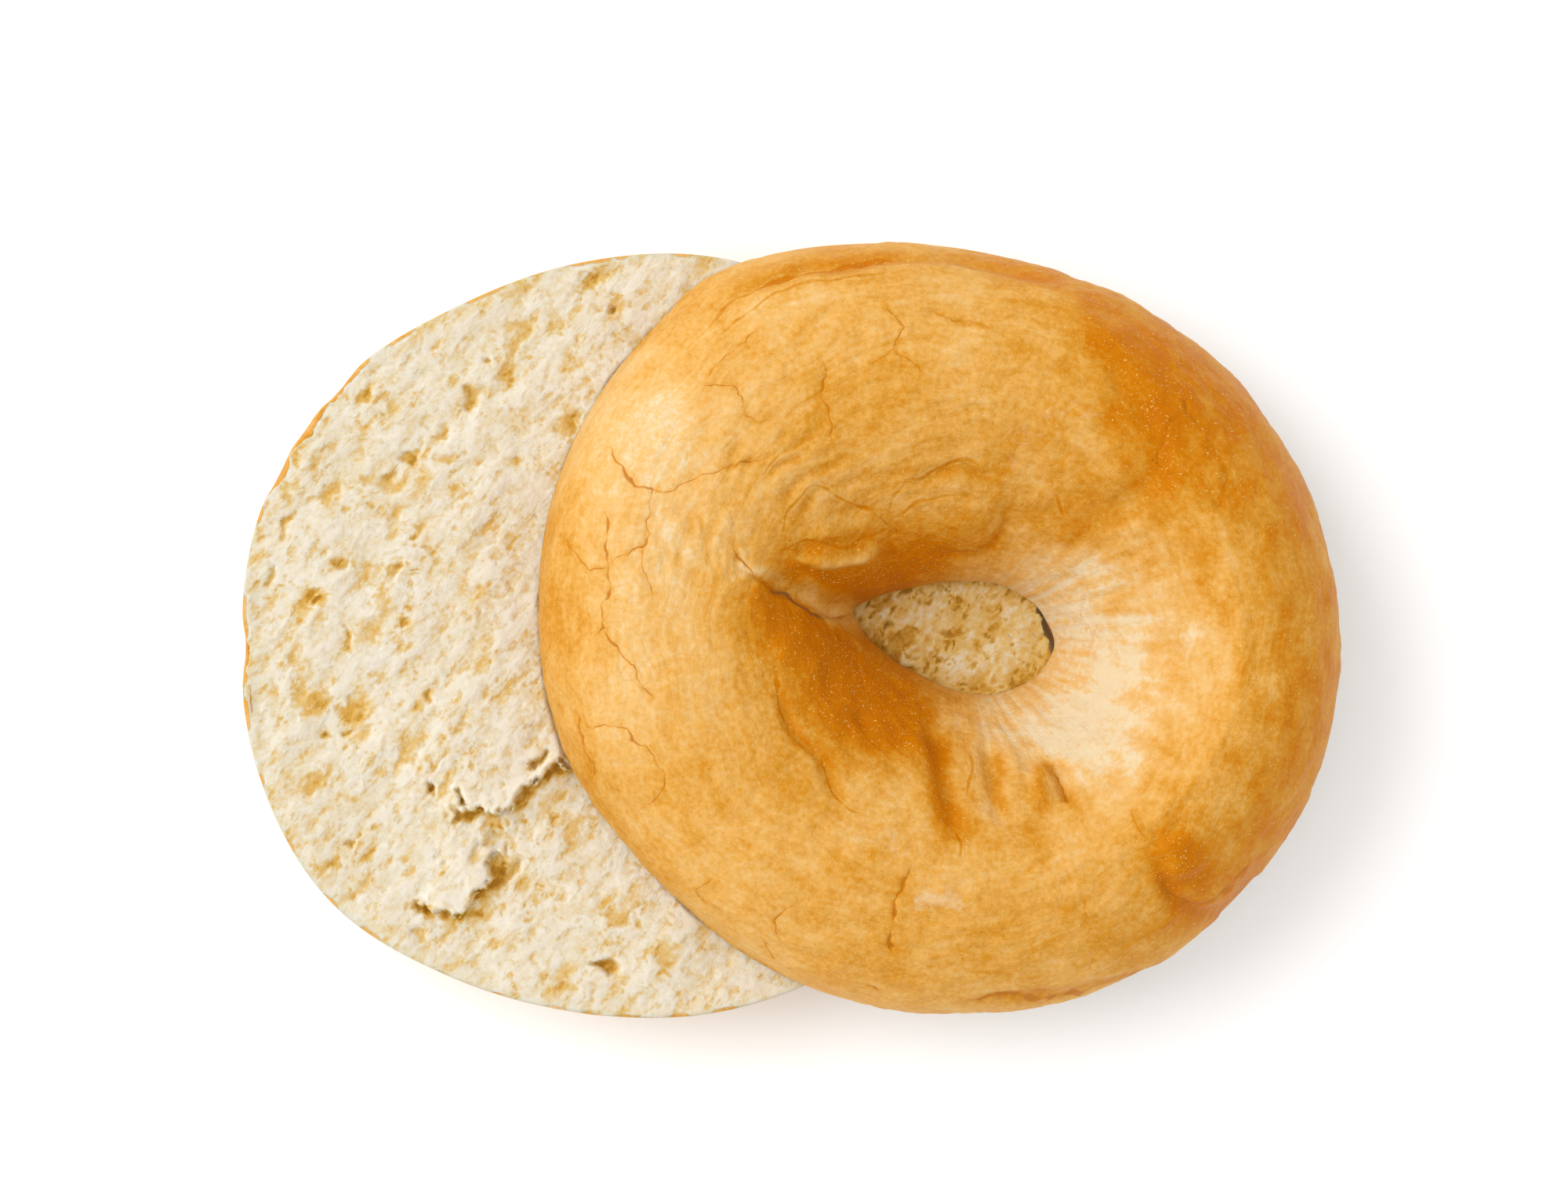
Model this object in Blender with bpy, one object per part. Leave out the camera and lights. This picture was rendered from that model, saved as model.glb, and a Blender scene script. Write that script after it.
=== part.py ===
"""A plain bagel, sliced through. The bottom half stands on its flat base with its cut face up, and
the top half lies on that face, crust up, slid aside so that a wide crescent of crumb stays bare.

Run with: blender --background --python part.py
Metres, +Z up. The origin is on the ground, under the middle of the two halves together.
"""

import math

import bmesh
import bpy
from mathutils import Matrix, Vector

# ---------------------------------------------------------------------------------------------
# Driving dimensions, in metres and degrees
# ---------------------------------------------------------------------------------------------

# How the halves lie: where the top half's middle is, seen from the bottom half's
SLIDE_X = 0.0399
SLIDE_Y = 0.0011
REST_GAP = 0.0003

# The knife went through a little aslant, so the bottom half is thinner on its +X side
CUT_HEIGHT = 0.0170
CUT_TILT = 2.2

# The top half: its crown over the cut face, and its outline at the cut.
# A wave is (lobes round the ring, depth, direction of a crest in degrees).
CROWN_HEIGHT = 0.0214
TOP_RIM = 0.0540
TOP_RIM_WAVES = ((2, 0.0022, -30.0), (3, 0.0004, 12.0), (5, 0.0004, -37.0))
CROWN_WAVES = ((1, 0.0006, 120.0), (2, 0.0007, 75.0), (3, 0.0004, 20.0))

# The hole is an egg on its side, blunt end to the right, a little off the middle. The bottom half's
# end of it is a little smaller.
HOLE_X = 0.0021
HOLE_Y = -0.0011
HOLE_HALF_LENGTH = 0.0134
HOLE_HALF_WIDTH = 0.0074
HOLE_BLUNTNESS = 0.33
HOLE_TURN = -11.0
BOTTOM_HOLE_SHARE = 0.92

# Cross-section of the top half. The crown runs at this share of the way from hole to rim, and the
# roundness is 2 for an ellipse, more for a full shoulder or a steep lip, less for a gentle funnel.
CROWN_AT = 0.54
CROWN_AT_SWING = 0.06
SHOULDER_ROUNDNESS = 2.25
LIP_ROUNDNESS = 2.15
FUNNEL_SOFTENING = 0.55
FUNNEL_DIRECTION = -12.0

# The bottom half: its outline at its widest, and its cross-section, whose lengths are shares of
# the ring's width and of the cut's height
BOTTOM_RIM = 0.0541
BOTTOM_RIM_WAVES = ((2, 0.0019, 11.0), (3, 0.0005, -58.0), (4, 0.0007, -44.0))
BELLY_UP = 0.58
BASE_INSET = 0.22
RIM_INSET = 0.014

# Folds and swellings of the top crust, in metres from the middle of the top half:
# (name, height, half width, route). A height under zero is a groove.
CRUST_FOLDS = (
    ("seam where the rope's ends meet", -0.0028, 0.0023,
     ((-0.0110, 0.0016), (-0.0190, 0.0044), (-0.0262, 0.0078))),
    ("upper end, lapped over the seam", 0.0016, 0.0042, ((-0.0080, 0.0118), (-0.0190, 0.0112))),
    ("lower end, tucked under", 0.0010, 0.0040, ((-0.0160, -0.0035), (-0.0215, -0.0090))),
    ("long fold under the far shoulder", -0.0012, 0.0016,
     ((-0.0300, 0.0440), (-0.0200, 0.0485), (-0.0020, 0.0512), (0.0130, 0.0490), (0.0210, 0.0455))),
    ("ridge down the right shoulder", 0.0009, 0.0022, ((0.0160, 0.0450), (0.0260, 0.0365), (0.0305, 0.0300))),
    ("crease inside that ridge", -0.0010, 0.0018, ((0.0240, 0.0330), (0.0295, 0.0240), (0.0240, 0.0160))),
    ("swirl over the hole", 0.0009, 0.0030, ((-0.0010, 0.0140), (0.0070, 0.0140))),
    ("first pucker below the hole", -0.0012, 0.0018, ((0.0010, -0.0150), (0.0020, -0.0290))),
    ("second pucker below the hole", -0.0012, 0.0018, ((0.0085, -0.0160), (0.0090, -0.0280))),
    ("knob beside the puckers", 0.0012, 0.0020, ((0.0136, -0.0205), (0.0142, -0.0240))),
    ("crease from the seam down", -0.0012, 0.0017,
     ((-0.0222, -0.0090), (-0.0190, -0.0150), (-0.0140, -0.0240))),
    ("lump on the lower right shoulder", 0.0016, 0.0034, ((0.0325, -0.0300), (0.0360, -0.0345))),
)

# Fineness of the faceted surface
STEPS_ROUND_TOP = 112
STEPS_OVER_CROWN = 25
STEPS_ROUND_BOTTOM = 96
STEPS_BELLY = 5
STEPS_NECK = 2

GOLDEN_CRUST = (0.72, 0.36, 0.082)
PALE_CRUST = (0.76, 0.47, 0.17)
CREAM_CRUMB = (0.82, 0.68, 0.46)


# ---------------------------------------------------------------------------------------------
# Shapes
# ---------------------------------------------------------------------------------------------


def wavy(angle, mean, waves):
    """A length that swells and shrinks slowly round the ring."""
    swells = (depth * math.cos(lobes * (angle - math.radians(crest))) for lobes, depth, crest in waves)
    return mean + sum(swells)


def rim_point(angle, mean, waves):
    length = wavy(angle, mean, waves)
    return Vector((length * math.cos(angle), length * math.sin(angle)))


def hole_point(angle, share=1.0):
    """A point of the hole's egg-shaped outline, which share shrinks about the egg's own middle."""
    turn = angle - math.radians(HOLE_TURN)
    along = HOLE_HALF_LENGTH * math.cos(turn)
    aside = HOLE_HALF_WIDTH * math.sin(turn) * (1.0 + HOLE_BLUNTNESS * math.cos(turn))
    egg = Vector((along, aside)) * share
    egg.rotate(Matrix.Rotation(math.radians(HOLE_TURN), 2))
    return egg + Vector((HOLE_X, HOLE_Y))


def distance_to_route(point, route):
    """Shortest distance in plan from a point to a route of straight stretches."""
    nearest = math.inf
    for start, end in zip(route, route[1:]):
        start, end = Vector(start), Vector(end)
        along = (point - start).dot(end - start) / (end - start).length_squared
        foot = start.lerp(end, min(1.0, max(0.0, along)))
        nearest = min(nearest, (point - foot).length)
    return nearest


def crust_relief(point):
    """How far the folds lift or sink the crust over a point in plan."""
    return sum(
        height * math.exp(-((distance_to_route(point, route) / half_width) ** 2))
        for _, height, half_width, route in CRUST_FOLDS
    )


def unit_ring(profile, steps):
    """A ring turned from a closed profile of (across, up) pairs. Across is 0 at the hole and 1 at the
    rim, and lies at a radius of 1 to 2, so that a later step can read it back from each corner."""
    ring = bmesh.new()
    corners = [ring.verts.new((1.0 + across, 0.0, up)) for across, up in profile]
    for corner, following in zip(corners, corners[1:] + corners[:1]):
        ring.edges.new((corner, following))
    bmesh.ops.spin(
        ring,
        geom=ring.verts[:] + ring.edges[:],
        cent=(0.0, 0.0, 0.0),
        axis=(0.0, 0.0, 1.0),
        angle=math.tau,
        steps=steps,
        use_merge=True,
    )
    return ring


def reshape(ring, place):
    """Moves every corner of a unit ring to place(angle, across, up)."""
    for corner in ring.verts:
        angle = math.atan2(corner.co.y, corner.co.x)
        across = math.hypot(corner.co.x, corner.co.y) - 1.0
        corner.co = place(angle, across, corner.co.z)
    bmesh.ops.recalc_face_normals(ring, faces=ring.faces[:])


def crown_profile():
    """A half circle from the rim over the crown to the hole. The cut face closes it."""
    turns = (math.pi * step / STEPS_OVER_CROWN for step in range(STEPS_OVER_CROWN + 1))
    return [(0.5 + 0.5 * math.cos(turn), math.sin(turn)) for turn in turns]


def place_top(angle, across, up):
    """The top half's cross-section, bent round its own rim and hole."""
    turn = math.atan2(up, 2.0 * across - 1.0)
    # 1 straight towards the funnel, 0 on the far side
    towards_funnel = 0.5 + 0.5 * math.cos(angle - math.radians(FUNNEL_DIRECTION))
    crown_at = CROWN_AT + CROWN_AT_SWING * math.cos(angle)
    outside = math.cos(turn) > 0.0
    roundness = SHOULDER_ROUNDNESS if outside else LIP_ROUNDNESS - FUNNEL_SOFTENING * towards_funnel**2
    sideways = abs(math.cos(turn)) ** (2.0 / roundness)
    share = crown_at + (1.0 - crown_at) * sideways if outside else crown_at * (1.0 - sideways)
    plan = hole_point(angle).lerp(rim_point(angle, TOP_RIM, TOP_RIM_WAVES), share)
    lift = max(0.0, math.sin(turn)) ** (2.0 / roundness)
    crown = wavy(angle, CROWN_HEIGHT, CROWN_WAVES)
    return Vector((plan.x, plan.y, lift * (crown + crust_relief(plan))))


def side_curve():
    """(inset, up) pairs up one side of the bottom half, from its flat base past the belly to the cut."""
    curve = []
    for step in range(STEPS_BELLY):
        turn = 0.5 * math.pi * step / STEPS_BELLY
        curve.append((BASE_INSET * (1.0 - math.sin(turn)), BELLY_UP * (1.0 - math.cos(turn))))
    for step in range(STEPS_NECK + 1):
        rise = step / STEPS_NECK
        curve.append((RIM_INSET * rise**2, BELLY_UP + (1.0 - BELLY_UP) * rise))
    return curve


def bottom_profile():
    """The bottom half's cross-section: up its outer side, over the cut face and down into the hole."""
    outer = [(1.0 - inset, up) for inset, up in side_curve()]
    inner = [(inset, up) for inset, up in reversed(side_curve())]
    return outer + inner


def cut_plane(x):
    """Height of the slanted cut at a distance in X from the bottom half's middle."""
    return CUT_HEIGHT - x * math.tan(math.radians(CUT_TILT))


def place_bottom(angle, across, up):
    """The bottom half's cross-section, bent round its rim and hole, between the ground and the cut."""
    hole = hole_point(angle, BOTTOM_HOLE_SHARE)
    plan = hole.lerp(rim_point(angle, BOTTOM_RIM, BOTTOM_RIM_WAVES), across)
    return Vector((plan.x, plan.y, up * cut_plane(plan.x)))


# ---------------------------------------------------------------------------------------------
# Materials and objects
# ---------------------------------------------------------------------------------------------


def bread_material(name, colour, roughness):
    material = bpy.data.materials.new(name)
    material.use_nodes = True
    shader = material.node_tree.nodes["Principled BSDF"]
    shader.inputs["Base Color"].default_value = (*colour, 1.0)
    shader.inputs["Roughness"].default_value = roughness
    shader.inputs["Metallic"].default_value = 0.0
    return material


def add_half(name, ring, crust, crumb, is_cut, collection, parent):
    """Makes a reshaped ring an object: crust all over, crumb on the faces that is_cut picks."""
    for face in ring.faces:
        face.material_index = 1 if is_cut(face) else 0
    mesh = bpy.data.meshes.new(name)
    ring.to_mesh(mesh)
    ring.free()
    mesh.materials.append(crust)
    mesh.materials.append(crumb)
    mesh.shade_smooth()
    mesh.set_sharp_from_angle(angle=math.radians(50.0))
    half = bpy.data.objects.new(name, mesh)
    half.parent = parent
    collection.objects.link(half)
    return half


def middle_on_ground(halves):
    """The plan middle of the box round all the halves, as an offset to take away."""
    bpy.context.view_layer.update()
    corners = [half.matrix_world @ corner.co for half in halves for corner in half.data.vertices]
    middle = Vector((0.0, 0.0, 0.0))
    for axis in (0, 1):
        places = [corner[axis] for corner in corners]
        middle[axis] = (min(places) + max(places)) / 2.0
    return middle


# ---------------------------------------------------------------------------------------------
# The bagel
# ---------------------------------------------------------------------------------------------

for leftover in list(bpy.data.objects):
    bpy.data.objects.remove(leftover)

bagel = bpy.data.collections.new("sliced_bagel")
bpy.context.scene.collection.children.link(bagel)

place = bpy.data.objects.new("bagel_place", None)
bagel.objects.link(place)

crumb_material = bread_material("cream crumb", CREAM_CRUMB, 0.9)

# Bottom half: flat base on the ground, cut face up
bottom_ring = unit_ring(bottom_profile(), STEPS_ROUND_BOTTOM)
reshape(bottom_ring, place_bottom)
bottom_half = add_half(
    "bottom_half",
    bottom_ring,
    bread_material("pale base crust", PALE_CRUST, 0.6),
    crumb_material,
    lambda face: face.normal.z > 0.9,
    bagel,
    place,
)

# Top half: made with its cut face flat at its own zero, then laid on the slanted cut
top_ring = unit_ring(crown_profile(), STEPS_ROUND_TOP)
reshape(top_ring, place_top)
top_half = add_half(
    "top_half",
    top_ring,
    bread_material("golden top crust", GOLDEN_CRUST, 0.45),
    crumb_material,
    lambda face: face.normal.z < -0.9,
    bagel,
    place,
)
top_half.rotation_euler = (0.0, math.radians(CUT_TILT), 0.0)
top_half.location = (SLIDE_X, SLIDE_Y, cut_plane(SLIDE_X) + REST_GAP)

place.location = -middle_on_ground((bottom_half, top_half))
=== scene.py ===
import itertools
import math

import bmesh
import bpy
import numpy as np
from mathutils import Matrix, Vector


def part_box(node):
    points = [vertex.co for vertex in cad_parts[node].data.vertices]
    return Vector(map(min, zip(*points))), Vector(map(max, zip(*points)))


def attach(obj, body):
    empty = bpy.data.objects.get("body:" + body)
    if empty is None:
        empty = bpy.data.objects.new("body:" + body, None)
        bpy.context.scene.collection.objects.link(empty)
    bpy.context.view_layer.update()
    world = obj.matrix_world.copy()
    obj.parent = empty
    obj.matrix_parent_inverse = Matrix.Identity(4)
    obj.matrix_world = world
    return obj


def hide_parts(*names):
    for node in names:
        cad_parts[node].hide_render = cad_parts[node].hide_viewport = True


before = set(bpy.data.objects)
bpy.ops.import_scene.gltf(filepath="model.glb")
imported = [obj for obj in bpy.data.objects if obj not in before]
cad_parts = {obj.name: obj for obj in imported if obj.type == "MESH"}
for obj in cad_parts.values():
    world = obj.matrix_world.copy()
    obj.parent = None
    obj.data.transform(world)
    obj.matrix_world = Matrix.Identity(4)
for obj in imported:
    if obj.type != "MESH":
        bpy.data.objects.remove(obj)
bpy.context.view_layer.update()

# ============================================================
# Bottom half, crust. The baked skin under and round the base of the roll: pale where it lay on the
# baking sheet, golden up the sides, a millimetre thick. One turned shell, bent to the roll's shape.
# ============================================================

# Millimetres, for the tables of rims, routes and hollows. All other lengths are in metres
MM = 0.001

bottom_low, bottom_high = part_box("bottom_half")

# The bottom half's middle lies this far in from the box of its solid
BOTTOM_REACH_LEFT = 0.0557
BOTTOM_REACH_BACK = 0.0518
BOTTOM_MIDDLE = np.array((bottom_low.x + BOTTOM_REACH_LEFT, bottom_high.y - BOTTOM_REACH_BACK))

# The knife's cut falls slightly towards +X
CUT_SLOPE = math.tan(math.radians(2.2))

# Distance from the middle to the side, every 20 degrees from +X round by +Y
BOTTOM_RIM = MM * np.array((54.8, 53.5, 52.8, 52.2, 52.4, 51.7, 51.9, 54.3, 55.6,
                            55.7, 56.6, 56.8, 54.1, 52.6, 52.6, 52.7, 53.5, 55.2))

# On the right, where it shows down the top half's hole, the side is torn back above a full belly
TORN_BEARING = math.radians(1.6)
TORN_SPREAD = math.radians(4.6)
TORN_LEAN = 0.054
BULGE_BEARING = math.radians(-3.0)
BULGE_SPREAD = math.radians(7.0)
BULGE_OUT = 0.0018

# The hole, an egg that bulges at some bearings and narrows at others, as (share, bearing, spread)
HOLE_MIDDLE = np.array((0.0021, -0.0011))
HOLE_HALF_LENGTH = 0.0134
HOLE_HALF_WIDTH = 0.0074
HOLE_BLUNTNESS = 0.33
HOLE_TURN = math.radians(-11.0)
HOLE_BUMPS = ((0.075, math.pi - 0.15, 0.30), (-0.055, -0.85, 0.50), (0.015, 0.10, 0.35))
BOTTOM_HOLE_SHARE = 0.92

# Cross-section, in shares of the ring's width and of the cut's height
BELLY_UP = 0.58
BASE_INSET = 0.22
CRUST_SHARE = 0.045

# Where the crust stands out past the cut and shows from above: (bearing, spread) in degrees
CRUST_LIPS = ((142.0, 3.0), (149.0, 3.0), (156.0, 3.0), (182.5, 3.5))
LIP_INSET = 0.021
RIM_INSET = -0.003

# Strands in the skin are as many times longer than thick as the ring's radius is to this one
STRAND_RADIUS = 0.006

# Rows round the skin's section and its inner side, as (base, side), and columns round the ring
SKIN_ROWS = (26, 46)
INSIDE_ROWS = (10, 8)
SKIN_COLUMNS = 352

# Unevenness of the skin, as (height, grain, seed), fading out near the ground and the cut
BOTTOM_LUMPS = ((0.00035, 0.014, 3), (0.00012, 0.004, 4), (0.00005, 0.0012, 5))
GROUND_FADE = 0.003
CUT_FADE = 0.002

# How baked the skin is, from 0 where it is dough to 1 where it browned
BASE_BAKE = 0.10
SIDE_BAKE = 0.42
RIM_PALING = 0.20
LIP_BAKE = 12.0
BASE_FLOUR = 0.5


def turned_ring(skin, inside, steps):
    """A ring turned from two runs of (across, up) pairs, its skin and the way back inside, with across
    as a radius of 1 to 2. A sixteenth is spun, then doubled round four times and welded."""
    ring = bmesh.new()
    is_skin = ring.verts.layers.float.new("skin")
    corners = [ring.verts.new((1.0 + across, 0.0, up)) for across, up in (*skin, *inside)]
    for corner in corners[:len(skin)]:
        corner[is_skin] = 1.0
    for corner, following in zip(corners, corners[1:] + corners[:1]):
        ring.edges.new((corner, following))
    bmesh.ops.spin(ring, geom=ring.verts[:] + ring.edges[:], cent=(0.0, 0.0, 0.0), axis=(0.0, 0.0, 1.0),
                   angle=math.tau / 16, steps=steps // 16, use_merge=False)
    for share in (16, 8, 4, 2):
        copied = bmesh.ops.duplicate(ring, geom=ring.verts[:] + ring.edges[:] + ring.faces[:])["geom"]
        bmesh.ops.rotate(ring, verts=[part for part in copied if isinstance(part, bmesh.types.BMVert)],
                         cent=(0.0, 0.0, 0.0), matrix=Matrix.Rotation(math.tau / share, 3, "Z"))
    bmesh.ops.remove_doubles(ring, verts=ring.verts[:], dist=1e-5)
    return ring


def double_columns(ring, wanted):
    """Halves every edge that runs round the ring where wanted(across, up) says so."""
    round_edges = []
    for edge in ring.edges:
        first, second = (corner.co for corner in edge.verts)
        across = first.xy.length - 1.0
        runs_round = abs(first.z - second.z) < 1e-5 and abs(across + 1.0 - second.xy.length) < 1e-5
        if runs_round and wanted(across, first.z):
            round_edges.append(edge)
    bmesh.ops.subdivide_edges(ring, edges=round_edges, cuts=1)


def read_ring(ring):
    """(angle, across, up, skin) of every corner of a turned ring."""
    corners = np.array([corner.co for corner in ring.verts])
    is_skin = ring.verts.layers.float["skin"]
    skin = np.array([corner[is_skin] for corner in ring.verts])
    return np.arctan2(corners[:, 1], corners[:, 0]), np.hypot(*corners[:, :2].T) - 1.0, corners[:, 2], skin


def curve_between(before, here, following, beyond, share):
    """A smooth curve from here to following, past the points on either side."""
    slope = following - before
    bend = 2.0 * before - 5.0 * here + 4.0 * following - beyond
    twist = 3.0 * (here - following) + beyond - before
    return here + 0.5 * share * (slope + share * (bend + share * twist))


def outline(angle, distances):
    """A closed outline through evenly spaced distances from its middle."""
    place = (angle / math.tau % 1.0) * len(distances)
    start = np.floor(place).astype(int)
    nearest = (distances[(start + step) % len(distances)] for step in (-1, 0, 1, 2))
    length = curve_between(*nearest, place - start)
    return np.stack((length * np.cos(angle), length * np.sin(angle)), axis=1)


def mix(first, second, share):
    return first + (second - first) * np.asarray(share)


def ease(low, high, value):
    """0 at low, 1 at high, smooth between and level beyond."""
    share = np.clip((value - low) / (high - low), 0.0, 1.0)
    return share * share * (3.0 - 2.0 * share)


def bell(value):
    """1 at zero, falling away smoothly to either side."""
    return np.exp(-(value**2))


def bearing_from(angle, bearing):
    """How far an angle lies from a bearing, the short way round."""
    return (angle - bearing + math.pi) % math.tau - math.pi


def hole_waves(turn):
    """How much wider than its egg the hole is, a little uneven all round."""
    bumps = sum(share * bell(bearing_from(turn, bearing) / spread) for share, bearing, spread in HOLE_BUMPS)
    return 1.0 + bumps + 0.010 * np.sin(5.0 * turn + 1.0) + 0.008 * np.sin(11.0 * turn)


def hole_outline(angle, share=1.0):
    """The egg-shaped hole, about the middle of its half."""
    turn = angle - HOLE_TURN
    share = share * hole_waves(turn)
    along = share * HOLE_HALF_LENGTH * np.cos(turn)
    aside = share * HOLE_HALF_WIDTH * np.sin(turn) * (1.0 + HOLE_BLUNTNESS * np.cos(turn))
    x = along * math.cos(HOLE_TURN) - aside * math.sin(HOLE_TURN)
    y = along * math.sin(HOLE_TURN) + aside * math.cos(HOLE_TURN)
    return np.stack((x, y), axis=1) + HOLE_MIDDLE


def noise(points, grain, seed):
    """Smooth random values of about -1 to 1, with lumps about a grain across."""
    dice = np.random.default_rng(seed)
    order = dice.permutation(256)
    slopes = dice.normal(size=(256, 3))
    slopes /= np.linalg.norm(slopes, axis=1)[:, None]
    place = points / grain + dice.uniform(0.0, 99.0, 3)
    cell = np.floor(place).astype(int)
    inside = place - cell
    weight = inside**3 * (inside * (inside * 6.0 - 15.0) + 10.0)
    total = np.zeros(len(points))
    for corner in itertools.product((0, 1), repeat=3):
        x, y, z = (cell + corner).T
        picked = slopes[order[(order[(order[x & 255] + y) & 255] + z) & 255]]
        share = np.prod(np.where(corner, weight, 1.0 - weight), axis=1)
        total += share * np.sum(picked * (inside - corner), axis=1)
    return total * 1.7


def layered_noise(points, layers):
    """Noise of several grains, as (height, grain, seed)."""
    return sum(height * noise(points, grain, seed) for height, grain, seed in layers)


def ring_noise(angle, lumps, seed):
    """Noise round a ring, with so many lumps to the radian."""
    return noise(np.column_stack((angle * lumps, np.zeros((len(angle), 2)))), 1.0, seed)


def flat(plan):
    """Plan points as points in space, for noise."""
    return np.column_stack((plan, np.zeros(len(plan))))


def wander(plan, grain, distance, seed):
    """Plan points shifted a little, each lump of them its own way, to make what lies on them ragged."""
    lumps = flat(plan)
    return plan + distance * np.stack((noise(lumps, grain, seed), noise(lumps, grain, seed + 1)), axis=1)


def cut_height(x):
    """Height of the slanted cut at a place in X."""
    return bottom_high.z - (x - bottom_low.x) * CUT_SLOPE


def torn_side(angle):
    """How much the side is torn, raggedly, towards a bearing."""
    ragged = 1.0 + 0.30 * ring_noise(angle, 70.0, 98) + 0.15 * ring_noise(angle, 160.0, 99)
    return bell(bearing_from(angle, TORN_BEARING) / TORN_SPREAD) * ragged


def bottom_outline(angle):
    side = np.stack((np.cos(angle), np.sin(angle)), axis=1)
    bulge = BULGE_OUT * bell(bearing_from(angle, BULGE_BEARING) / BULGE_SPREAD)
    return outline(angle, BOTTOM_RIM) + bulge[:, None] * side


def bottom_place(angle, across, up):
    """Bends a unit ring to the bottom half's outline, its hole, the ground and the cut."""
    plan = mix(hole_outline(angle, BOTTOM_HOLE_SHARE), bottom_outline(angle), across[:, None]) + BOTTOM_MIDDLE
    return np.column_stack((plan, up * cut_height(plan[:, 0])))


def add_object(name, data):
    """An object of its own at the origin, in the scene."""
    thing = bpy.data.objects.new(name, data)
    bpy.context.scene.collection.objects.link(thing)
    return thing


def new_piece(name, ring, places):
    """Moves the ring's corners to their places and makes it an object with its faces outwards."""
    for corner, place in zip(ring.verts, places):
        corner.co = place
    bmesh.ops.recalc_face_normals(ring, faces=ring.faces[:])
    bmesh.ops.triangulate(ring, faces=[face for face in ring.faces if len(face.verts) > 4])
    mesh = bpy.data.meshes.new(name)
    ring.to_mesh(mesh)
    ring.free()
    mesh.shade_smooth()
    return add_object(name, mesh)


def push_out(piece, distance):
    """Moves every corner of a piece along its normal."""
    mesh = piece.data
    normals = np.empty(len(mesh.vertices) * 3, np.float32)
    mesh.vertex_normals.foreach_get("vector", normals)
    places = np.empty_like(normals)
    mesh.vertices.foreach_get("co", places)
    places = places.reshape(-1, 3) + normals.reshape(-1, 3) * distance[:, None]
    mesh.vertices.foreach_set("co", places.astype(np.float32).ravel())
    mesh.update()


def paint(piece, name, values):
    """Keeps one number a corner on the piece, for its material to read."""
    layer = piece.data.attributes.new(name, "FLOAT", "POINT")
    layer.data.foreach_set("value", np.asarray(values, np.float32))


def paint_places(piece, name, places):
    """Keeps one place a corner on the piece, for its material to lay a texture by."""
    layer = piece.data.attributes.new(name, "FLOAT_VECTOR", "POINT")
    layer.data.foreach_set("vector", np.asarray(places, np.float32).ravel())


def strand_places(angle, away, turn_radius):
    """Places where noise comes out as strands that run round the ring, or out from it if away is shrunk."""
    return np.column_stack((turn_radius * np.cos(angle), turn_radius * np.sin(angle), away))


def belly_path(steps_base, steps_side):
    """(across, up) pairs from the outer rim of the cut down, over the base and up to the hole's rim."""
    rise = 1.0 - np.linspace(0.0, 1.0, steps_side) ** 1.3
    below = np.clip((BELLY_UP - rise) / BELLY_UP, 0.0, 1.0)
    outer = np.column_stack((1.0 - BASE_INSET * (1.0 - np.sqrt(1.0 - below**2)), rise))
    base_across = np.linspace(1.0 - BASE_INSET, BASE_INSET, steps_base)[1:-1]
    base = np.column_stack((base_across, np.zeros(steps_base - 2)))
    inner = outer[::-1] * (-1.0, 1.0) + (1.0, 0.0)
    return np.vstack((outer, base, inner))


def shrink_section(path, share):
    """Draws a section in towards the middle of the cut face."""
    return (path - (0.5, 1.0)) * (1.0 - share) + (0.5, 1.0)


def cut_inset(angle, up):
    """Share of the ring's width by which the side leans in from its belly up to the cut."""
    lips = sum(bell(bearing_from(angle, math.radians(bearing)) / math.radians(spread))
               for bearing, spread in CRUST_LIPS)
    lean = RIM_INSET + LIP_INSET * np.clip(lips, 0.0, 1.0) + TORN_LEAN * torn_side(angle)
    return lean * np.clip((up - BELLY_UP) / (1.0 - BELLY_UP), 0.0, 1.0) ** 2


inner_path = shrink_section(belly_path(*INSIDE_ROWS), CRUST_SHARE)
bottom_ring = turned_ring(belly_path(*SKIN_ROWS), inner_path[::-1], SKIN_COLUMNS)
angle, across, up, skin = read_ring(bottom_ring)
places = bottom_place(angle, across * (1.0 - cut_inset(angle, up)), up)
bottom_crust = new_piece("bottom_crust", bottom_ring, places)

below_cut = cut_height(places[:, 0]) - places[:, 2]
away_from_edges = skin * ease(0.0, GROUND_FADE, places[:, 2]) * ease(0.0, CUT_FADE, below_cut)
push_out(bottom_crust, layered_noise(places, BOTTOM_LUMPS) * away_from_edges)
bake = BASE_BAKE + SIDE_BAKE * ease(0.1, 0.6, up) - RIM_PALING * ease(0.8, 1.0, up)
bake += 0.14 * noise(places, 0.012, 6)
lips = cut_inset(angle, np.ones(len(angle))) - RIM_INSET
bake += LIP_BAKE * lips * ease(0.60, 0.95, up) * (0.8 + noise(places, 0.003, 7))
paint(bottom_crust, "bake", bake)
paint(bottom_crust, "flour", BASE_FLOUR * ease(0.35, 0.0, up))
paint_places(bottom_crust, "strand", strand_places(angle, places[:, 2], STRAND_RADIUS))
# Painted shadow down the torn side, which lies in shade under the top half where it shows down its hole
paint(bottom_crust, "deep", ease(0.10, 0.40, torn_side(angle)) * ease(0.84, 0.92, up))

# ------------------------------------------------------------
# The finish of the crust: satin and mottled, pale cream where it stretched or was pressed, deep
# orange where it browned, with dusty flour, hairline cracks, and blisters the size of a pin's head
# whose glints are painted on as pale specks.
# ------------------------------------------------------------


def new_material(name):
    material = bpy.data.materials.new(name)
    material.use_nodes = True
    return material, material.node_tree, material.node_tree.nodes["Principled BSDF"]


def plug(tree, socket, value):
    """Links an output to a socket, or sets the socket to a plain value."""
    if isinstance(value, bpy.types.NodeSocket):
        tree.links.new(value, socket)
    elif socket.type == "RGBA":
        socket.default_value = (*value, 1.0)
    else:
        socket.default_value = value


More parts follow.
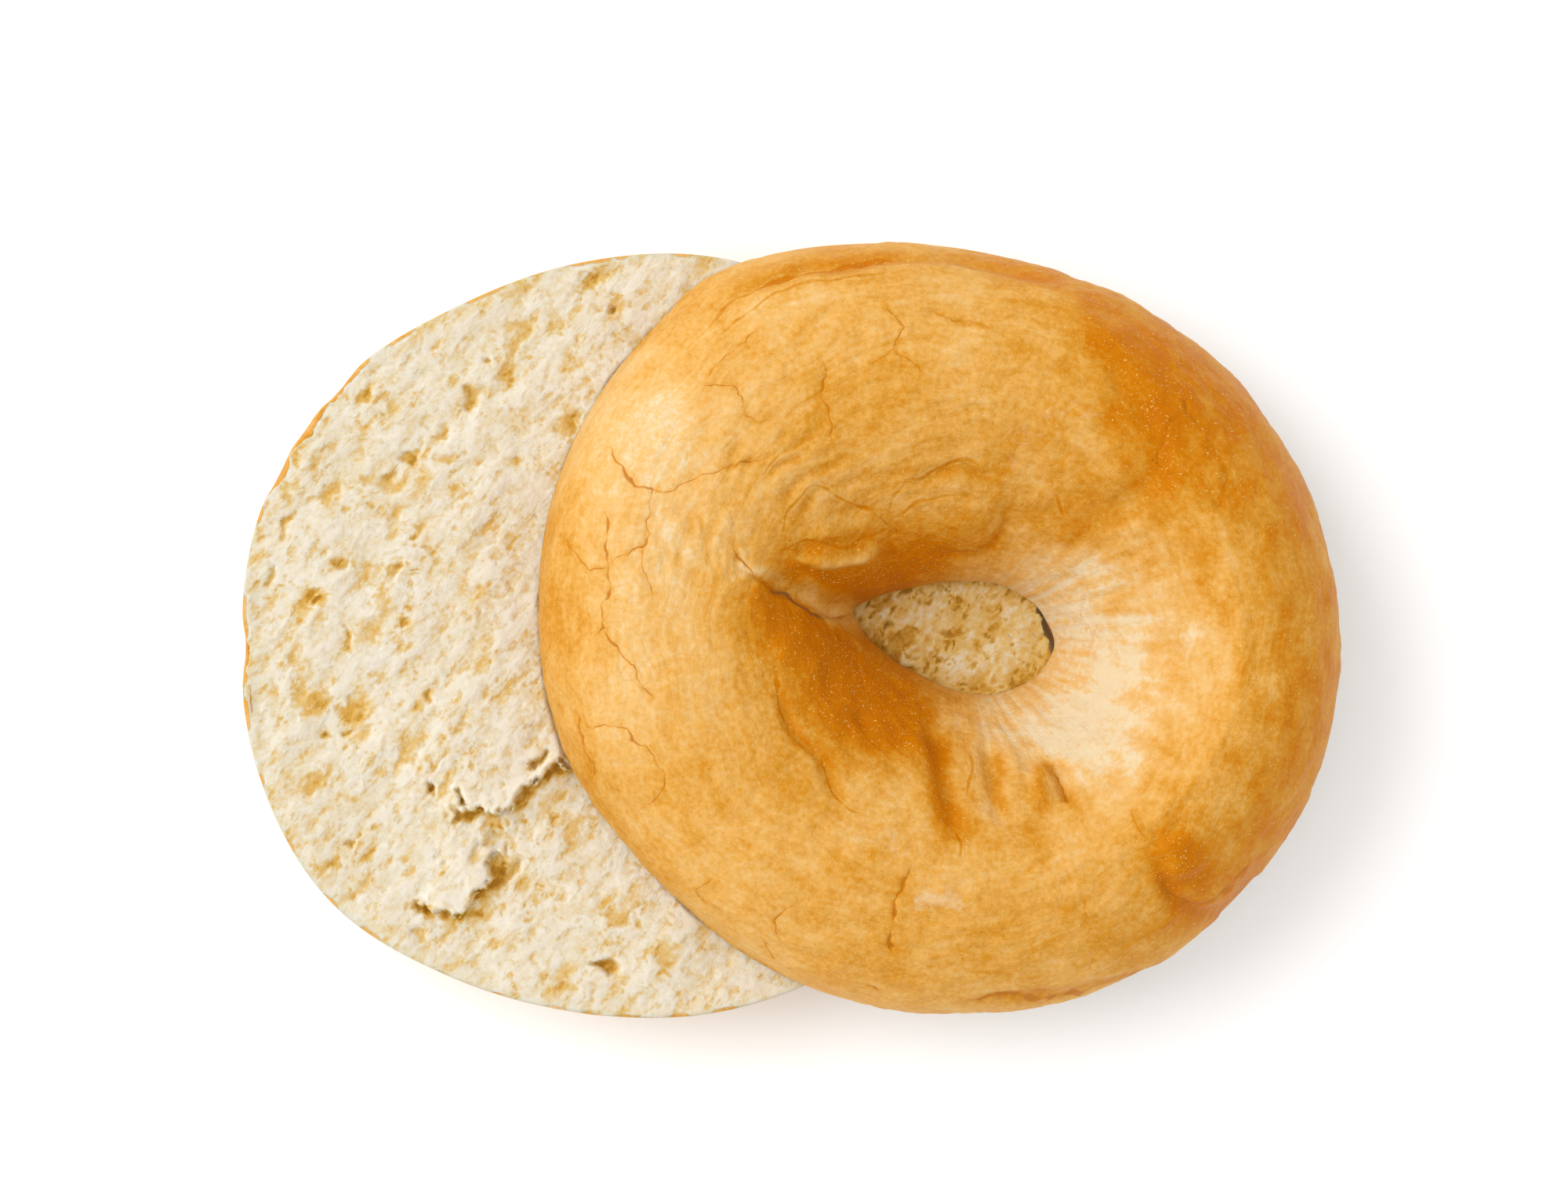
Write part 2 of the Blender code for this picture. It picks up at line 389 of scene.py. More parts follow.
def add_node(tree, kind, inputs, **settings):
    """A node with its settings made and its inputs plugged."""
    node = tree.nodes.new("ShaderNode" + kind)
    for name, setting in settings.items():
        setattr(node, name, setting)
    for name, value in inputs.items():
        plug(tree, node.inputs[name], value)
    return node


def read_layer(tree, name, output="Fac"):
    return add_node(tree, "Attribute", {}, attribute_name=name).outputs[output]


def maths(tree, operation, first, second=0.0, third=0.0):
    return add_node(tree, "Math", {0: first, 1: second, 2: third}, operation=operation).outputs[0]


def stir_in(tree, tone, texture, amount):
    """Adds an amount of a texture to a tone, taken about the texture's middle."""
    return maths(tree, "MULTIPLY_ADD", maths(tree, "SUBTRACT", texture, 0.5), amount, tone)


def blend(tree, share, first, second):
    return add_node(tree, "Mix", {0: share, 6: first, 7: second}, data_type="RGBA").outputs[2]


def grain(tree, place, size, detail=2.0, roughness=0.5):
    """Cloudy random values with lumps about a size across, in metres."""
    inputs = {"Vector": place, "Scale": 0.5 / size, "Detail": detail, "Roughness": roughness}
    return add_node(tree, "TexNoise", inputs).outputs["Fac"]


def cells(tree, place, size, feature="F1"):
    """Random cells about a size across: the distance to each one's middle or edge, and its own colour."""
    node = add_node(tree, "TexVoronoi", {"Vector": place, "Scale": 1.0 / size}, feature=feature)
    return node.outputs["Distance"], node.outputs.get("Color")


def between(tree, value, low, high, to_low=0.0, to_high=1.0):
    """Takes low to high smoothly to to_low to to_high, level beyond."""
    inputs = {"Value": value, "From Min": low, "From Max": high, "To Min": to_low, "To Max": to_high}
    return add_node(tree, "MapRange", inputs, interpolation_type="SMOOTHSTEP").outputs["Result"]


def tone_ramp(tree, value, stops):
    """A colour ramp through (place, colour) stops."""
    node = add_node(tree, "ValToRGB", {"Fac": value})
    elements = node.color_ramp.elements
    while len(elements) < len(stops):
        elements.new(0.5)
    for element, (place, colour) in zip(elements, stops):
        element.position = place
        element.color = (*colour, 1.0)
    return node.outputs["Color"]


def bumps(tree, shader, heights):
    """Adds up bumps of (height, distance in metres) into the shader's normal."""
    inputs = {}
    for height, distance in heights:
        node = add_node(tree, "Bump", {"Height": height, "Distance": distance, **inputs})
        inputs = {"Normal": node.outputs["Normal"]}
    tree.links.new(inputs["Normal"], shader.inputs["Normal"])


def crack_line(tree, name, softness=0.12):
    """1 along the cracks kept in a layer, from how far each lies and how wide it is, in millimetres."""
    away = maths(tree, "ABSOLUTE", read_layer(tree, name))
    wide = read_layer(tree, name + "_width")
    return between(tree, maths(tree, "SUBTRACT", away, wide), -0.5 * softness, softness, 1.0, 0.0)


# Share of red, green and blue light given back, from hardly baked to browned. Red hardly changes
BAKE_TONES = (
    (0.00, (0.67, 0.54, 0.34)),
    (0.20, (0.67, 0.42, 0.160)),
    (0.42, (0.63, 0.328, 0.072)),
    (0.62, (0.55, 0.236, 0.020)),
    (0.82, (0.51, 0.162, 0.0)),
    (1.00, (0.47, 0.135, 0.0)),
)
FLOUR_WHITE = (0.64, 0.46, 0.26)
PINHEAD_GLINT = (0.80, 0.53, 0.16)
CRACK_EDGE = (0.52, 0.18, 0.0)
CRACK_DARK = (0.43, 0.13, 0.0)
# Painted shadow, for gaps that lie in shade
PAINTED_GAP_SHADOW = (0.15, 0.090, 0.040)
GLOSS_TINT = (1.0, 0.80, 0.45)

# A wrinkle's crests reach out this many times its half width, and hairlines stray this far
CREST_WIDTHS = 4.0
WOBBLE = (0.004, 0.004, 0.004)


def make_crust():
    material, tree, shader = new_material("baked_crust")
    place = add_node(tree, "TexCoord", {}).outputs["Object"]
    clouds = grain(tree, place, 0.0022, 3.0, 0.6)
    grit = grain(tree, place, 0.0004, 3.0, 0.65)
    strand = grain(tree, read_layer(tree, "strand", "Vector"), 0.0005, 3.0, 0.6)
    spoke = grain(tree, read_layer(tree, "spoke", "Vector"), 0.0005, 3.0, 0.6)
    streaks = blend(tree, read_layer(tree, "stretched"), strand, spoke)
    wrinkle = crack_line(tree, "wrinkle", 0.20)
    wrinkle_away = maths(tree, "ABSOLUTE", read_layer(tree, "wrinkle"))
    crest_reach = maths(tree, "MULTIPLY", read_layer(tree, "wrinkle_width"), CREST_WIDTHS)
    past_crest = maths(tree, "SUBTRACT", wrinkle_away, crest_reach)
    crest = maths(tree, "MULTIPLY", between(tree, wrinkle_away, 0.15, 0.40),
                  between(tree, past_crest, 0.0, 0.45, 1.0, 0.0))
    bake = read_layer(tree, "bake")
    tone = bake
    for texture, amount in ((clouds, 0.44), (grit, 0.60), (streaks, 0.36)):
        tone = stir_in(tree, tone, texture, amount)
    tone = maths(tree, "MULTIPLY_ADD", wrinkle, 0.20, tone)
    tone = maths(tree, "MULTIPLY_ADD", crest, -0.07, tone)
    colour = tone_ramp(tree, tone, BAKE_TONES)

    dust = maths(tree, "MULTIPLY_ADD", grain(tree, place, 0.0007, 4.0, 0.7), 0.9, read_layer(tree, "flour"))
    colour = blend(tree, between(tree, dust, 0.72, 1.05, 0.0, 0.65), colour, FLOUR_WHITE)

    # Painted glints: pale specks on the pinhead blisters, more of them where the crust is browned
    glint = grain(tree, place, 0.00017, 1.0, 0.5)
    lit = maths(tree, "MULTIPLY_ADD", clouds, 0.10, maths(tree, "MULTIPLY_ADD", bake, 0.11, glint))
    pinhead_glint = between(tree, lit, 0.80, 0.86)
    colour = blend(tree, maths(tree, "MULTIPLY", pinhead_glint, 0.55), colour, PINHEAD_GLINT)

    speck_far, speck_own = cells(tree, place, 0.0042)
    speck = maths(tree, "MULTIPLY", between(tree, speck_far, 0.022, 0.045, 1.0, 0.0),
                  maths(tree, "GREATER_THAN", speck_own, 0.62))
    colour = blend(tree, maths(tree, "MULTIPLY", speck, 0.75), colour, CRACK_DARK)

    wobble = add_node(tree, "TexNoise", {"Vector": place, "Scale": 260.0, "Detail": 3.0}).outputs["Color"]
    bent = add_node(tree, "VectorMath", {0: wobble, 1: WOBBLE, 2: place}, operation="MULTIPLY_ADD")
    seam_far, _ = cells(tree, bent.outputs["Vector"], 0.0085, "DISTANCE_TO_EDGE")
    where = between(tree, grain(tree, place, 0.006, 1.0), 0.56, 0.66)
    hairline = maths(tree, "MULTIPLY", between(tree, seam_far, 0.004, 0.012, 1.0, 0.0), where)

    crack = maths(tree, "MAXIMUM", crack_line(tree, "crack"), crack_line(tree, "branch"))
    colour = blend(tree, maths(tree, "MULTIPLY", hairline, 0.22), colour, CRACK_EDGE)
    crack_colour = blend(tree, crack, CRACK_EDGE, CRACK_DARK)
    colour = blend(tree, maths(tree, "MULTIPLY", crack, 0.80), colour, crack_colour)
    # Painted shadow in gaps where shade falls: the seam's gap and the bottom half's torn side
    colour = blend(tree, maths(tree, "MULTIPLY", read_layer(tree, "deep"), 0.9), colour, PAINTED_GAP_SHADOW)
    tree.links.new(colour, shader.inputs["Base Color"])

    rough = between(tree, tone, 0.2, 0.9, 0.58, 0.40)
    tree.links.new(maths(tree, "MULTIPLY_ADD", dust, 0.08, rough), shader.inputs["Roughness"])
    shader.inputs["Specular IOR Level"].default_value = 0.10
    shader.inputs["Specular Tint"].default_value = (*GLOSS_TINT, 1.0)
    shader.inputs["Subsurface Weight"].default_value = 0.15
    shader.inputs["Subsurface Radius"].default_value = (1.0, 0.5, 0.2)
    shader.inputs["Subsurface Scale"].default_value = 0.0010
    bumps(tree, shader, (
        (grain(tree, place, 0.0010, 4.0, 0.65), 0.00030),
        (grit, 0.00009),
        (streaks, 0.00022),
        (maths(tree, "SUBTRACT", crest, wrinkle), 0.00003),
        (pinhead_glint, 0.00003),
    ))
    return material


baked_crust = make_crust()
bottom_crust.data.materials.append(baked_crust)
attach(bottom_crust, "root")
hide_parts("bottom_half")

# ============================================================
# Bottom half, crumb. The cream inside of the roll as the knife tore it: fluffy, full of pores and
# hollows drawn out along the tear, with two torn ledges near the top half's edge.
# ============================================================

# The top half lies on it, slid over towards +X
SLIDE = np.array((0.0399, 0.0011))
TOP_MIDDLE = BOTTOM_MIDDLE + SLIDE
TOP_RIM = MM * np.array((55.0, 53.8, 52.6, 51.4, 51.5, 53.4, 56.7, 56.6, 56.1,
                         55.0, 54.1, 52.0, 52.4, 52.9, 53.3, 54.9, 55.4, 56.0))
SWELL_PAST_EDGE = 1.5

# The columns crowd together where the crumb is bare: bearings, and the density between them
BARE_BEARINGS = np.radians((0.0, 14.0, 58.0, 294.0, 344.0, 360.0))
BARE_DENSITIES = np.array((0.8, 0.12, 1.0, 0.12, 0.8))

# The knife and the tear ran this way, and lumps and pores are drawn out along it
TEAR = math.radians(50.0)
TORN_ALONG = np.array((math.cos(TEAR), math.sin(TEAR)))
TORN_ACROSS = np.array((-math.sin(TEAR), math.cos(TEAR)))

CRUMB_ROWS = 150
CRUMB_COLUMNS = 368
DOUBLE_BEYOND = 0.40
CRUMB_SHARE = 0.0015
RING_WIDTH = 0.041

# The crumb's hidden side lies this share of the crust's thickness in, in rows over (base, side)
CRUMB_SIDE_SHARE = 0.6
CRUMB_SIDE_ROWS = (6, 5)

# Pores strewn at random: (count, smallest, largest, depth for their half width)
LARGE_PORES = (1500, 0.0005, 0.0015, 0.34)
FINE_PORES = (7000, 0.00022, 0.0006, 0.40)
PORES_REACH = 0.056
HOLE_PORES = 130

# Heights of the torn face's waves, swells and fluff, and the depth of its hollow patches
WAVE_HEIGHT = 0.0005
SWELL_HEIGHT = 0.00042
FLUFF_HEIGHT = 0.00024
PATCH_DEPTH = 0.00030

# The named hollows are softened by this much
HOLLOW_DEEPNESS = 0.65
HOLLOW_PLAINNESS = 0.85

# How the face ends at its rim
RIM_FADE = 0.0020
RIM_STANDING = 0.00015
RIM_CRUMBLED = 0.0005
PRESSED_STANDING = 0.0001

# How deep in tone the crumb's unseen inner side is
INNER_TONE = 0.3


def crowd(angle):
    """Turns evenly spaced angles into ones that crowd together where the crumb is bare."""
    spans = np.diff(BARE_BEARINGS) * BARE_DENSITIES
    shares = np.concatenate(((0.0,), np.cumsum(spans) / spans.sum()))
    return np.interp(angle / math.tau % 1.0, shares, BARE_BEARINGS)


def smooth_route(points, steps=5):
    """A route with a curve through its points in place of straight runs."""
    points = np.asarray(points)
    padded = np.vstack((2.0 * points[0] - points[1], points, 2.0 * points[-1] - points[-2]))
    shares = np.linspace(0.0, 1.0, steps, endpoint=False)[:, None]
    runs = [curve_between(*padded[start:start + 4], shares) for start in range(len(points) - 1)]
    return np.vstack((*runs, points[-1:]))


def near_route(plan, route, reach):
    """How far plan points lie from a route, positive to its left, and the share of it passed there.
    The route alone is in millimetres."""
    route = MM * np.asarray(route)
    away = np.full(len(plan), np.inf)
    along = np.zeros(len(plan))
    in_reach = (plan > route.min(axis=0) - reach) & (plan < route.max(axis=0) + reach)
    near = np.flatnonzero(np.all(in_reach, axis=1))
    steps = np.diff(route, axis=0)
    lengths = np.hypot(*steps.T)
    for start, step, length, passed in zip(route, steps, lengths, np.cumsum(lengths) - lengths):
        offset = plan[near] - start
        share = np.clip(offset @ step / length**2, 0.0, 1.0)
        distance = np.hypot(*(offset - share[:, None] * step).T)
        left = step[0] * offset[:, 1] - step[1] * offset[:, 0] >= 0.0
        closer = distance < np.abs(away[near])
        away[near[closer]] = np.where(left, distance, -distance)[closer]
        along[near[closer]] = ((passed + share * length) / lengths.sum())[closer]
    return away, along


def taper(along, share):
    """1 along the middle of a route, easing to 0 over a share of it at either end."""
    return ease(0.0, share, along) * ease(1.0, 1.0 - share, along)


def pit_relief(plan, pits):
    """Depth of the deepest pit at each point, and how plainly a pit shows there.
    A pit is (x, y, half length, half width, turn, depth, plainness)."""
    deepest = np.zeros(len(plan))
    plainest = np.zeros(len(plan))
    order = np.argsort(plan[:, 0])
    for x, y, half_length, half_width, turn, depth, plainness in pits:
        first, last = np.searchsorted(plan[:, 0], (x - half_length, x + half_length), sorter=order)
        near = order[first:last]
        near = near[np.abs(plan[near, 1] - y) < half_length]
        offset = plan[near] - (x, y)
        along = offset[:, 0] * math.cos(turn) + offset[:, 1] * math.sin(turn)
        aside = offset[:, 1] * math.cos(turn) - offset[:, 0] * math.sin(turn)
        inside = ease(1.0, 0.25, np.hypot(along / half_length, aside / half_width))
        deepest[near] = np.maximum(deepest[near], depth * inside)
        plainest[near] = np.maximum(plainest[near], plainness * inside)
    return deepest, plainest


def random_pits(dice, count, smallest, largest, deepness):
    """Pores strewn over a half's whole cut. Most are small, and most lie along the way it tore."""
    pits = []
    for _ in range(count):
        distance = PORES_REACH * math.sqrt(dice.uniform())
        bearing = dice.uniform(0.0, math.tau)
        half_length = smallest * (largest / smallest) ** (dice.uniform() ** 1.8)
        half_width = half_length * dice.uniform(0.35, 0.9)
        turn = dice.normal(TEAR, 0.7)
        plainness = dice.uniform(0.3, 1.0)
        x, y = distance * math.cos(bearing), distance * math.sin(bearing)
        pits.append((x, y, half_length, half_width, turn, half_width * deepness * plainness, plainness))
    return pits


def crumb_relief(plan, seed, named_pits=()):
    """Height of torn crumb over its cut, and a tone for how deep or how shaded each point is, partly painted
    shade.
    """
    bent = wander(wander(plan, 0.0024, 0.0009, seed + 1), 0.0008, 0.00035, seed + 3)
    torn = np.column_stack((bent @ TORN_ACROSS, 0.5 * bent @ TORN_ALONG, np.zeros(len(plan))))
    dice = np.random.default_rng(seed)
    depth, tone = pit_relief(bent, random_pits(dice, *LARGE_PORES))
    fine_depth, fine_tone = pit_relief(bent, random_pits(dice, *FINE_PORES))
    named_depth, named_tone = pit_relief(bent, named_pits)
    open_crumb = np.clip(0.5 + 0.8 * noise(flat(plan), 0.008, seed + 5), 0.15, 1.0)
    swells = noise(torn, 0.0046, seed + 7)
    fluff = 0.6 * noise(torn, 0.0021, seed + 8) + 0.4 * noise(flat(bent), 0.0011, seed + 9)
    patches = ease(0.08, 0.55, noise(torn, 0.0026, seed + 10)) * open_crumb
    depth = np.maximum(np.maximum(depth, 0.8 * fine_depth) * open_crumb, named_depth)
    tone = np.maximum(np.maximum(0.56 * tone, 0.42 * fine_tone) * open_crumb, 0.85 * named_tone)
    height = WAVE_HEIGHT * noise(flat(plan), 0.010, seed + 6) + SWELL_HEIGHT * swells
    height += FLUFF_HEIGHT * fluff - PATCH_DEPTH * patches
    # The tone darkens pits, hollow patches and the dips between fluff and swells: partly the crumb's own
    # gold, partly painted shade
    tone = 0.02 + np.maximum(tone, 0.48 * patches) + 0.20 * ease(0.1, -0.8, fluff)
    tone += 0.12 * ease(0.0, -0.9, swells)
    return height - depth, np.clip(tone, 0.0, 1.0)


# Hollows that stand out, about the bottom half's middle: (x, y, half length, half width, turn in
# degrees, depth, plainness)
CRUMB_HOLLOWS = (
    (-24.2, 32.5, 3.2, 1.7, 66.0, 1.4, 0.9),
    (-22.5, 37.5, 1.6, 0.8, 30.0, 0.8, 0.6),
    (-28.5, 27.5, 3.0, 1.3, 70.0, 0.6, 0.6),
    (-35.5, 21.5, 2.6, 1.0, 40.0, 0.6, 0.6),
    (-32.5, 24.5, 3.0, 1.0, 45.0, 0.6, 0.6),
    (-42.0, 10.0, 2.0, 1.4, 55.0, 0.7, 0.65),
    (-45.5, 4.8, 0.9, 0.7, 30.0, 0.8, 0.9),
    (-49.7, 15.0, 3.4, 0.9, 62.0, 0.6, 0.65),
    (-52.0, 8.0, 3.0, 0.8, 80.0, 0.6, 0.6),
    (-41.3, -0.5, 3.0, 0.8, -75.0, 0.6, 0.6),
    (-34.5, 9.0, 1.6, 0.8, 60.0, 0.5, 0.6),
    (-33.5, 2.0, 1.3, 1.0, 20.0, 0.6, 0.7),
    (-30.0, -8.5, 1.4, 0.8, 50.0, 0.6, 0.7),
    (-44.0, -14.0, 1.0, 0.8, 0.0, 0.7, 0.85),
    (-41.5, -13.5, 0.9, 0.7, 0.0, 0.7, 0.85),
    (-41.0, -28.5, 1.0, 0.9, 20.0, 1.1, 0.8),
    (-15.2, -17.2, 2.2, 1.0, 30.0, 2.4, 1.0),
    (-30.0, -21.0, 1.2, 0.8, 70.0, 1.8, 0.9),
    (-25.8, -22.2, 1.1, 0.7, 110.0, 1.8, 0.9),
    (-6.0, -45.5, 2.8, 1.0, -15.0, 2.2, 1.0),
    (-31.0, -37.2, 2.2, 0.7, -10.0, 1.6, 0.9),
    (-19.5, -33.0, 3.0, 1.2, 50.0, 1.6, 0.8),
    (-5.0, 44.5, 1.0, 0.8, 30.0, 1.0, 0.7),
    (32.5, 1.0, 1.2, 0.9, 20.0, 1.4, 1.0),
    (39.7, -3.5, 1.2, 0.8, 50.0, 1.1, 0.8),
    (41.2, -0.2, 1.0, 0.8, 80.0, 0.8, 0.6),
    (37.5, 4.5, 1.3, 0.8, 10.0, 0.9, 0.6),
)

# Ledges where the crumb tore, high on their left: (route, rise, its fade, drop, its fade)
CRUMB_LEDGES = (
    (((-29.0, -26.2), (-26.2, -24.0), (-23.5, -23.4), (-20.8, -24.2), (-18.0, -22.6), (-15.3, -19.8),
        (-12.5, -17.6), (-8.0, -15.5), (0.0, -15.0)), 1.4, 11.0, 1.0, 6.0),
    (((-32.0, -36.8), (-27.0, -38.2), (-23.6, -36.4), (-22.2, -32.0), (-19.2, -28.0)), 1.1, 6.0, 1.0, 4.0),
)
LEDGE_REACH = 0.030


def ledge_relief(plan):
    """Rise and fall along the torn ledges, with painted shade on the low side and a painted highlight on the
    high.
    """
    bent = wander(wander(plan, 0.0030, 0.0014, 91), 0.0010, 0.0010, 93)
    total = np.zeros(len(plan))
    tone = np.zeros(len(plan))
    for route, *sizes in CRUMB_LEDGES:
        rise, rise_fade, drop, drop_fade = MM * np.array(sizes)
        away, along = near_route(bent, smooth_route(route), LEDGE_REACH)
        present = taper(along, 0.15) * np.isfinite(away)
        high = rise * np.exp(-np.maximum(away, 0.0) / rise_fade) * ease(-0.0005, 0.0005, away)
        low = drop * np.exp(np.minimum(away, 0.0) / drop_fade) * ease(0.0005, -0.0005, away)
        total += (high - low) * present
        # Painted shade below each ledge's edge, and a paler painted highlight above it
        tone += 0.60 * ease(0.0003, -0.0006, away) * ease(-0.0030, -0.0008, away) * present
        tone -= 0.15 * ease(0.0, 0.001, away) * ease(0.004, 0.001, away) * present
    return total, tone


def clear_of_top(plan):
    """How far plan points lie past the top half's rim, and how far inside its hole."""
    away = plan - TOP_MIDDLE
    bearing = np.arctan2(away[:, 1], away[:, 0])
    past_rim = np.hypot(*away.T) - np.hypot(*outline(bearing, TOP_RIM).T)
    away = away - HOLE_MIDDLE
    along = (away[:, 0] * math.cos(HOLE_TURN) + away[:, 1] * math.sin(HOLE_TURN)) / HOLE_HALF_LENGTH
    aside = (away[:, 1] * math.cos(HOLE_TURN) - away[:, 0] * math.sin(HOLE_TURN)) / HOLE_HALF_WIDTH
    aside = aside / (1.0 + HOLE_BLUNTNESS * np.clip(along, -1.0, 1.0))
    reach = np.hypot(along, aside) / hole_waves(np.arctan2(aside, along))
    return past_rim, HOLE_HALF_WIDTH * (1.0 - reach)


def in_from_edge(across, edge):
    """Distance in from the nearer edge of a cut face, which stops an edge's share short of the ring's."""
    return RING_WIDTH * (np.minimum(across, 1.0 - across) - edge)


crumb_side = shrink_section(belly_path(*CRUMB_SIDE_ROWS), CRUST_SHARE * CRUMB_SIDE_SHARE)
crumb_side[0, 0] = 1.0 - CRUMB_SHARE
crumb_side[-1, 0] = CRUMB_SHARE
crumb_face = np.column_stack((np.linspace(CRUMB_SHARE, 1.0 - CRUMB_SHARE, CRUMB_ROWS), np.ones(CRUMB_ROWS)))
crumb_ring = turned_ring(crumb_face, crumb_side[1:-1], CRUMB_COLUMNS)
double_columns(crumb_ring, lambda across, up: across > DOUBLE_BEYOND and up > 0.9)
angle, across, up, on_face = read_ring(crumb_ring)
angle = crowd(angle)
inset = cut_inset(angle, up)
lips = np.clip((inset - RIM_INSET) / LIP_INSET, 0.0, 1.0) * (1.0 - torn_side(angle))
ragged = 0.5 + 0.9 * ring_noise(angle, 45.0, 97)
drawn_in = 0.014 * np.maximum(lips, 0.0) * ragged * ease(0.93, 1.0, across)
places = bottom_place(angle, across * (1.0 - inset) - drawn_in, up)
past_rim, in_hole = clear_of_top(places[:, :2])

named_pits = [(MM * x, MM * y, MM * half_length, MM * half_width, math.radians(turn),
               HOLLOW_DEEPNESS * MM * depth, HOLLOW_PLAINNESS * plainness)
              for x, y, half_length, half_width, turn, depth, plainness in CRUMB_HOLLOWS]
# Denser pores down the hole
dice = np.random.default_rng(99)
for _ in range(HOLE_PORES):
    distance = 1.1 * math.sqrt(dice.uniform())
    bearing = dice.uniform(0.0, math.tau)
    half_length = dice.uniform(0.0003, 0.0008)
    x = SLIDE[0] + HOLE_MIDDLE[0] + distance * HOLE_HALF_LENGTH * math.cos(bearing)
    y = SLIDE[1] + HOLE_MIDDLE[1] + distance * HOLE_HALF_WIDTH * math.sin(bearing)
    plainness = dice.uniform(0.4, 0.9)
    turn = dice.uniform(0.0, math.pi)
    named_pits.append((x, y, half_length, 0.7 * half_length, turn, 0.5 * half_length, plainness))
plan = places[:, :2] - BOTTOM_MIDDLE
heights, tone = crumb_relief(plan, 20, named_pits)
ledge_height, ledge_shade_and_highlight = ledge_relief(plan)
heights += ledge_height
tone += ledge_shade_and_highlight * (1.0 + noise(flat(plan), 0.0015, 94))
from_rim = in_from_edge(across, CRUMB_SHARE)
crumbled = ease(-0.1, 0.5, noise(flat(places[:, :2]), 0.0035, 96)) * ease(0.0005, 0.0, from_rim)
heights = heights * ease(0.0, RIM_FADE, from_rim) + RIM_STANDING - RIM_CRUMBLED * crumbled
# Under the top half it is pressed flat, and it swells up again past the edge
in_the_open = np.maximum(np.maximum(past_rim, in_hole), 0.0)
heights = np.minimum(heights, PRESSED_STANDING + SWELL_PAST_EDGE * in_the_open)
places[:, 2] += heights * on_face
bottom_crumb = new_piece("bottom_crumb", crumb_ring, places)
dense = ease(0.0028, 0.0006, from_rim + 0.0006 * noise(flat(plan), 0.003, 95))
tone = tone * mix(1.0, 0.7, dense) + 0.08 * dense
# Painted shade: down the top half's hole the crumb is a deeper tan, deepest along the hole's lip, where its
# walls shade it
tone = mix(tone, 0.34 + 0.75 * tone, ease(-0.001, 0.001, in_hole)) + 0.30 * bell(in_hole / 0.0006)
paint(bottom_crumb, "pore_and_shade", np.where(on_face > 0.5, tone, INNER_TONE))

# ------------------------------------------------------------
# The finish of the crumb: soft cream that lets light in, golden down in its pores, with pores and
# fluff too fine to model as bumps. Its raised fluff is paler, and the gold down in its pores and dips
# is partly painted shade.
# ------------------------------------------------------------

# Share of light given back, from the cream crests down to the golden pores, whose gold is partly painted
# shade
CRUMB_TONES = (
    (0.00, (0.69, 0.635, 0.53)),
    (0.20, (0.65, 0.557, 0.39)),
    (0.45, (0.63, 0.445, 0.185)),
    (0.70, (0.60, 0.370, 0.095)),
    (0.88, (0.52, 0.275, 0.032)),
    (1.00, (0.42, 0.190, 0.012)),
)
TORN_STRETCH = (1.8, 1.0, 1.0)


def make_crumb():
    material, tree, shader = new_material("cream_crumb")
    place = add_node(tree, "TexCoord", {}).outputs["Object"]
    mapping = {"Vector": place, "Rotation": (0.0, 0.0, TEAR), "Scale": TORN_STRETCH}
    drawn_out = add_node(tree, "Mapping", mapping, vector_type="TEXTURE").outputs["Vector"]
    fluff = grain(tree, drawn_out, 0.0008, 3.0, 0.6)
    fine = grain(tree, place, 0.00030, 2.0, 0.5)
    spots = between(tree, grain(tree, drawn_out, 0.0007, 3.0, 0.55), 0.54, 0.68)
    # Raised fluff paler and its dips darker, partly painted shade
    torn = stir_in(tree, read_layer(tree, "pore_and_shade"), fluff, -1.05)
    torn = stir_in(tree, torn, fine, -0.50)
    torn = maths(tree, "MULTIPLY_ADD", spots, 0.26, torn)
    colour = tone_ramp(tree, between(tree, torn, -0.15, 1.0), CRUMB_TONES)
    tree.links.new(colour, shader.inputs["Base Color"])
    shader.inputs["Roughness"].default_value = 0.85
    shader.inputs["Specular IOR Level"].default_value = 0.25
    shader.inputs["Subsurface Weight"].default_value = 0.7
    shader.inputs["Subsurface Radius"].default_value = (1.0, 0.75, 0.45)
    shader.inputs["Subsurface Scale"].default_value = 0.0016
    bumps(tree, shader, (
        (fluff, 0.00034),
        (fine, 0.00009),
        (spots, -0.00008),
    ))
    return material


cream_crumb = make_crumb()
bottom_crumb.data.materials.append(cream_crumb)
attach(bottom_crumb, "root")
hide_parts("bottom_half")

# ============================================================
# Top half, crust. The baked crown of the roll, a rope of dough closed into a ring: folds and a seam
# where its ends meet, a pale funnel where it was stretched, and cracks where the skin split.
# ============================================================

CROWN_HEIGHT = 0.0214
CROWN_AT = 0.54
CROWN_AT_SWING = 0.06
SHOULDER_ROUNDNESS = 2.25
LIP_ROUNDNESS = 1.75
FUNNEL_SOFTENING = 0.65
FUNNEL_DIRECTION = math.radians(-12.0)

TOP_TILT = math.atan(CUT_SLOPE)
REST_GAP = 0.0003
CROWN_ROWS = 188
CROWN_COLUMNS = 256
DOUBLE_FROM = 0.42
ON_SKIN = 0.98

# The crust is thin at the cut and the crumb well below it at the crown, so that no fold bares it
CORE_ROWS = 12
CORE_ACROSS = 0.04
CORE_LEAN = 0.16
CORE_UP = 0.24

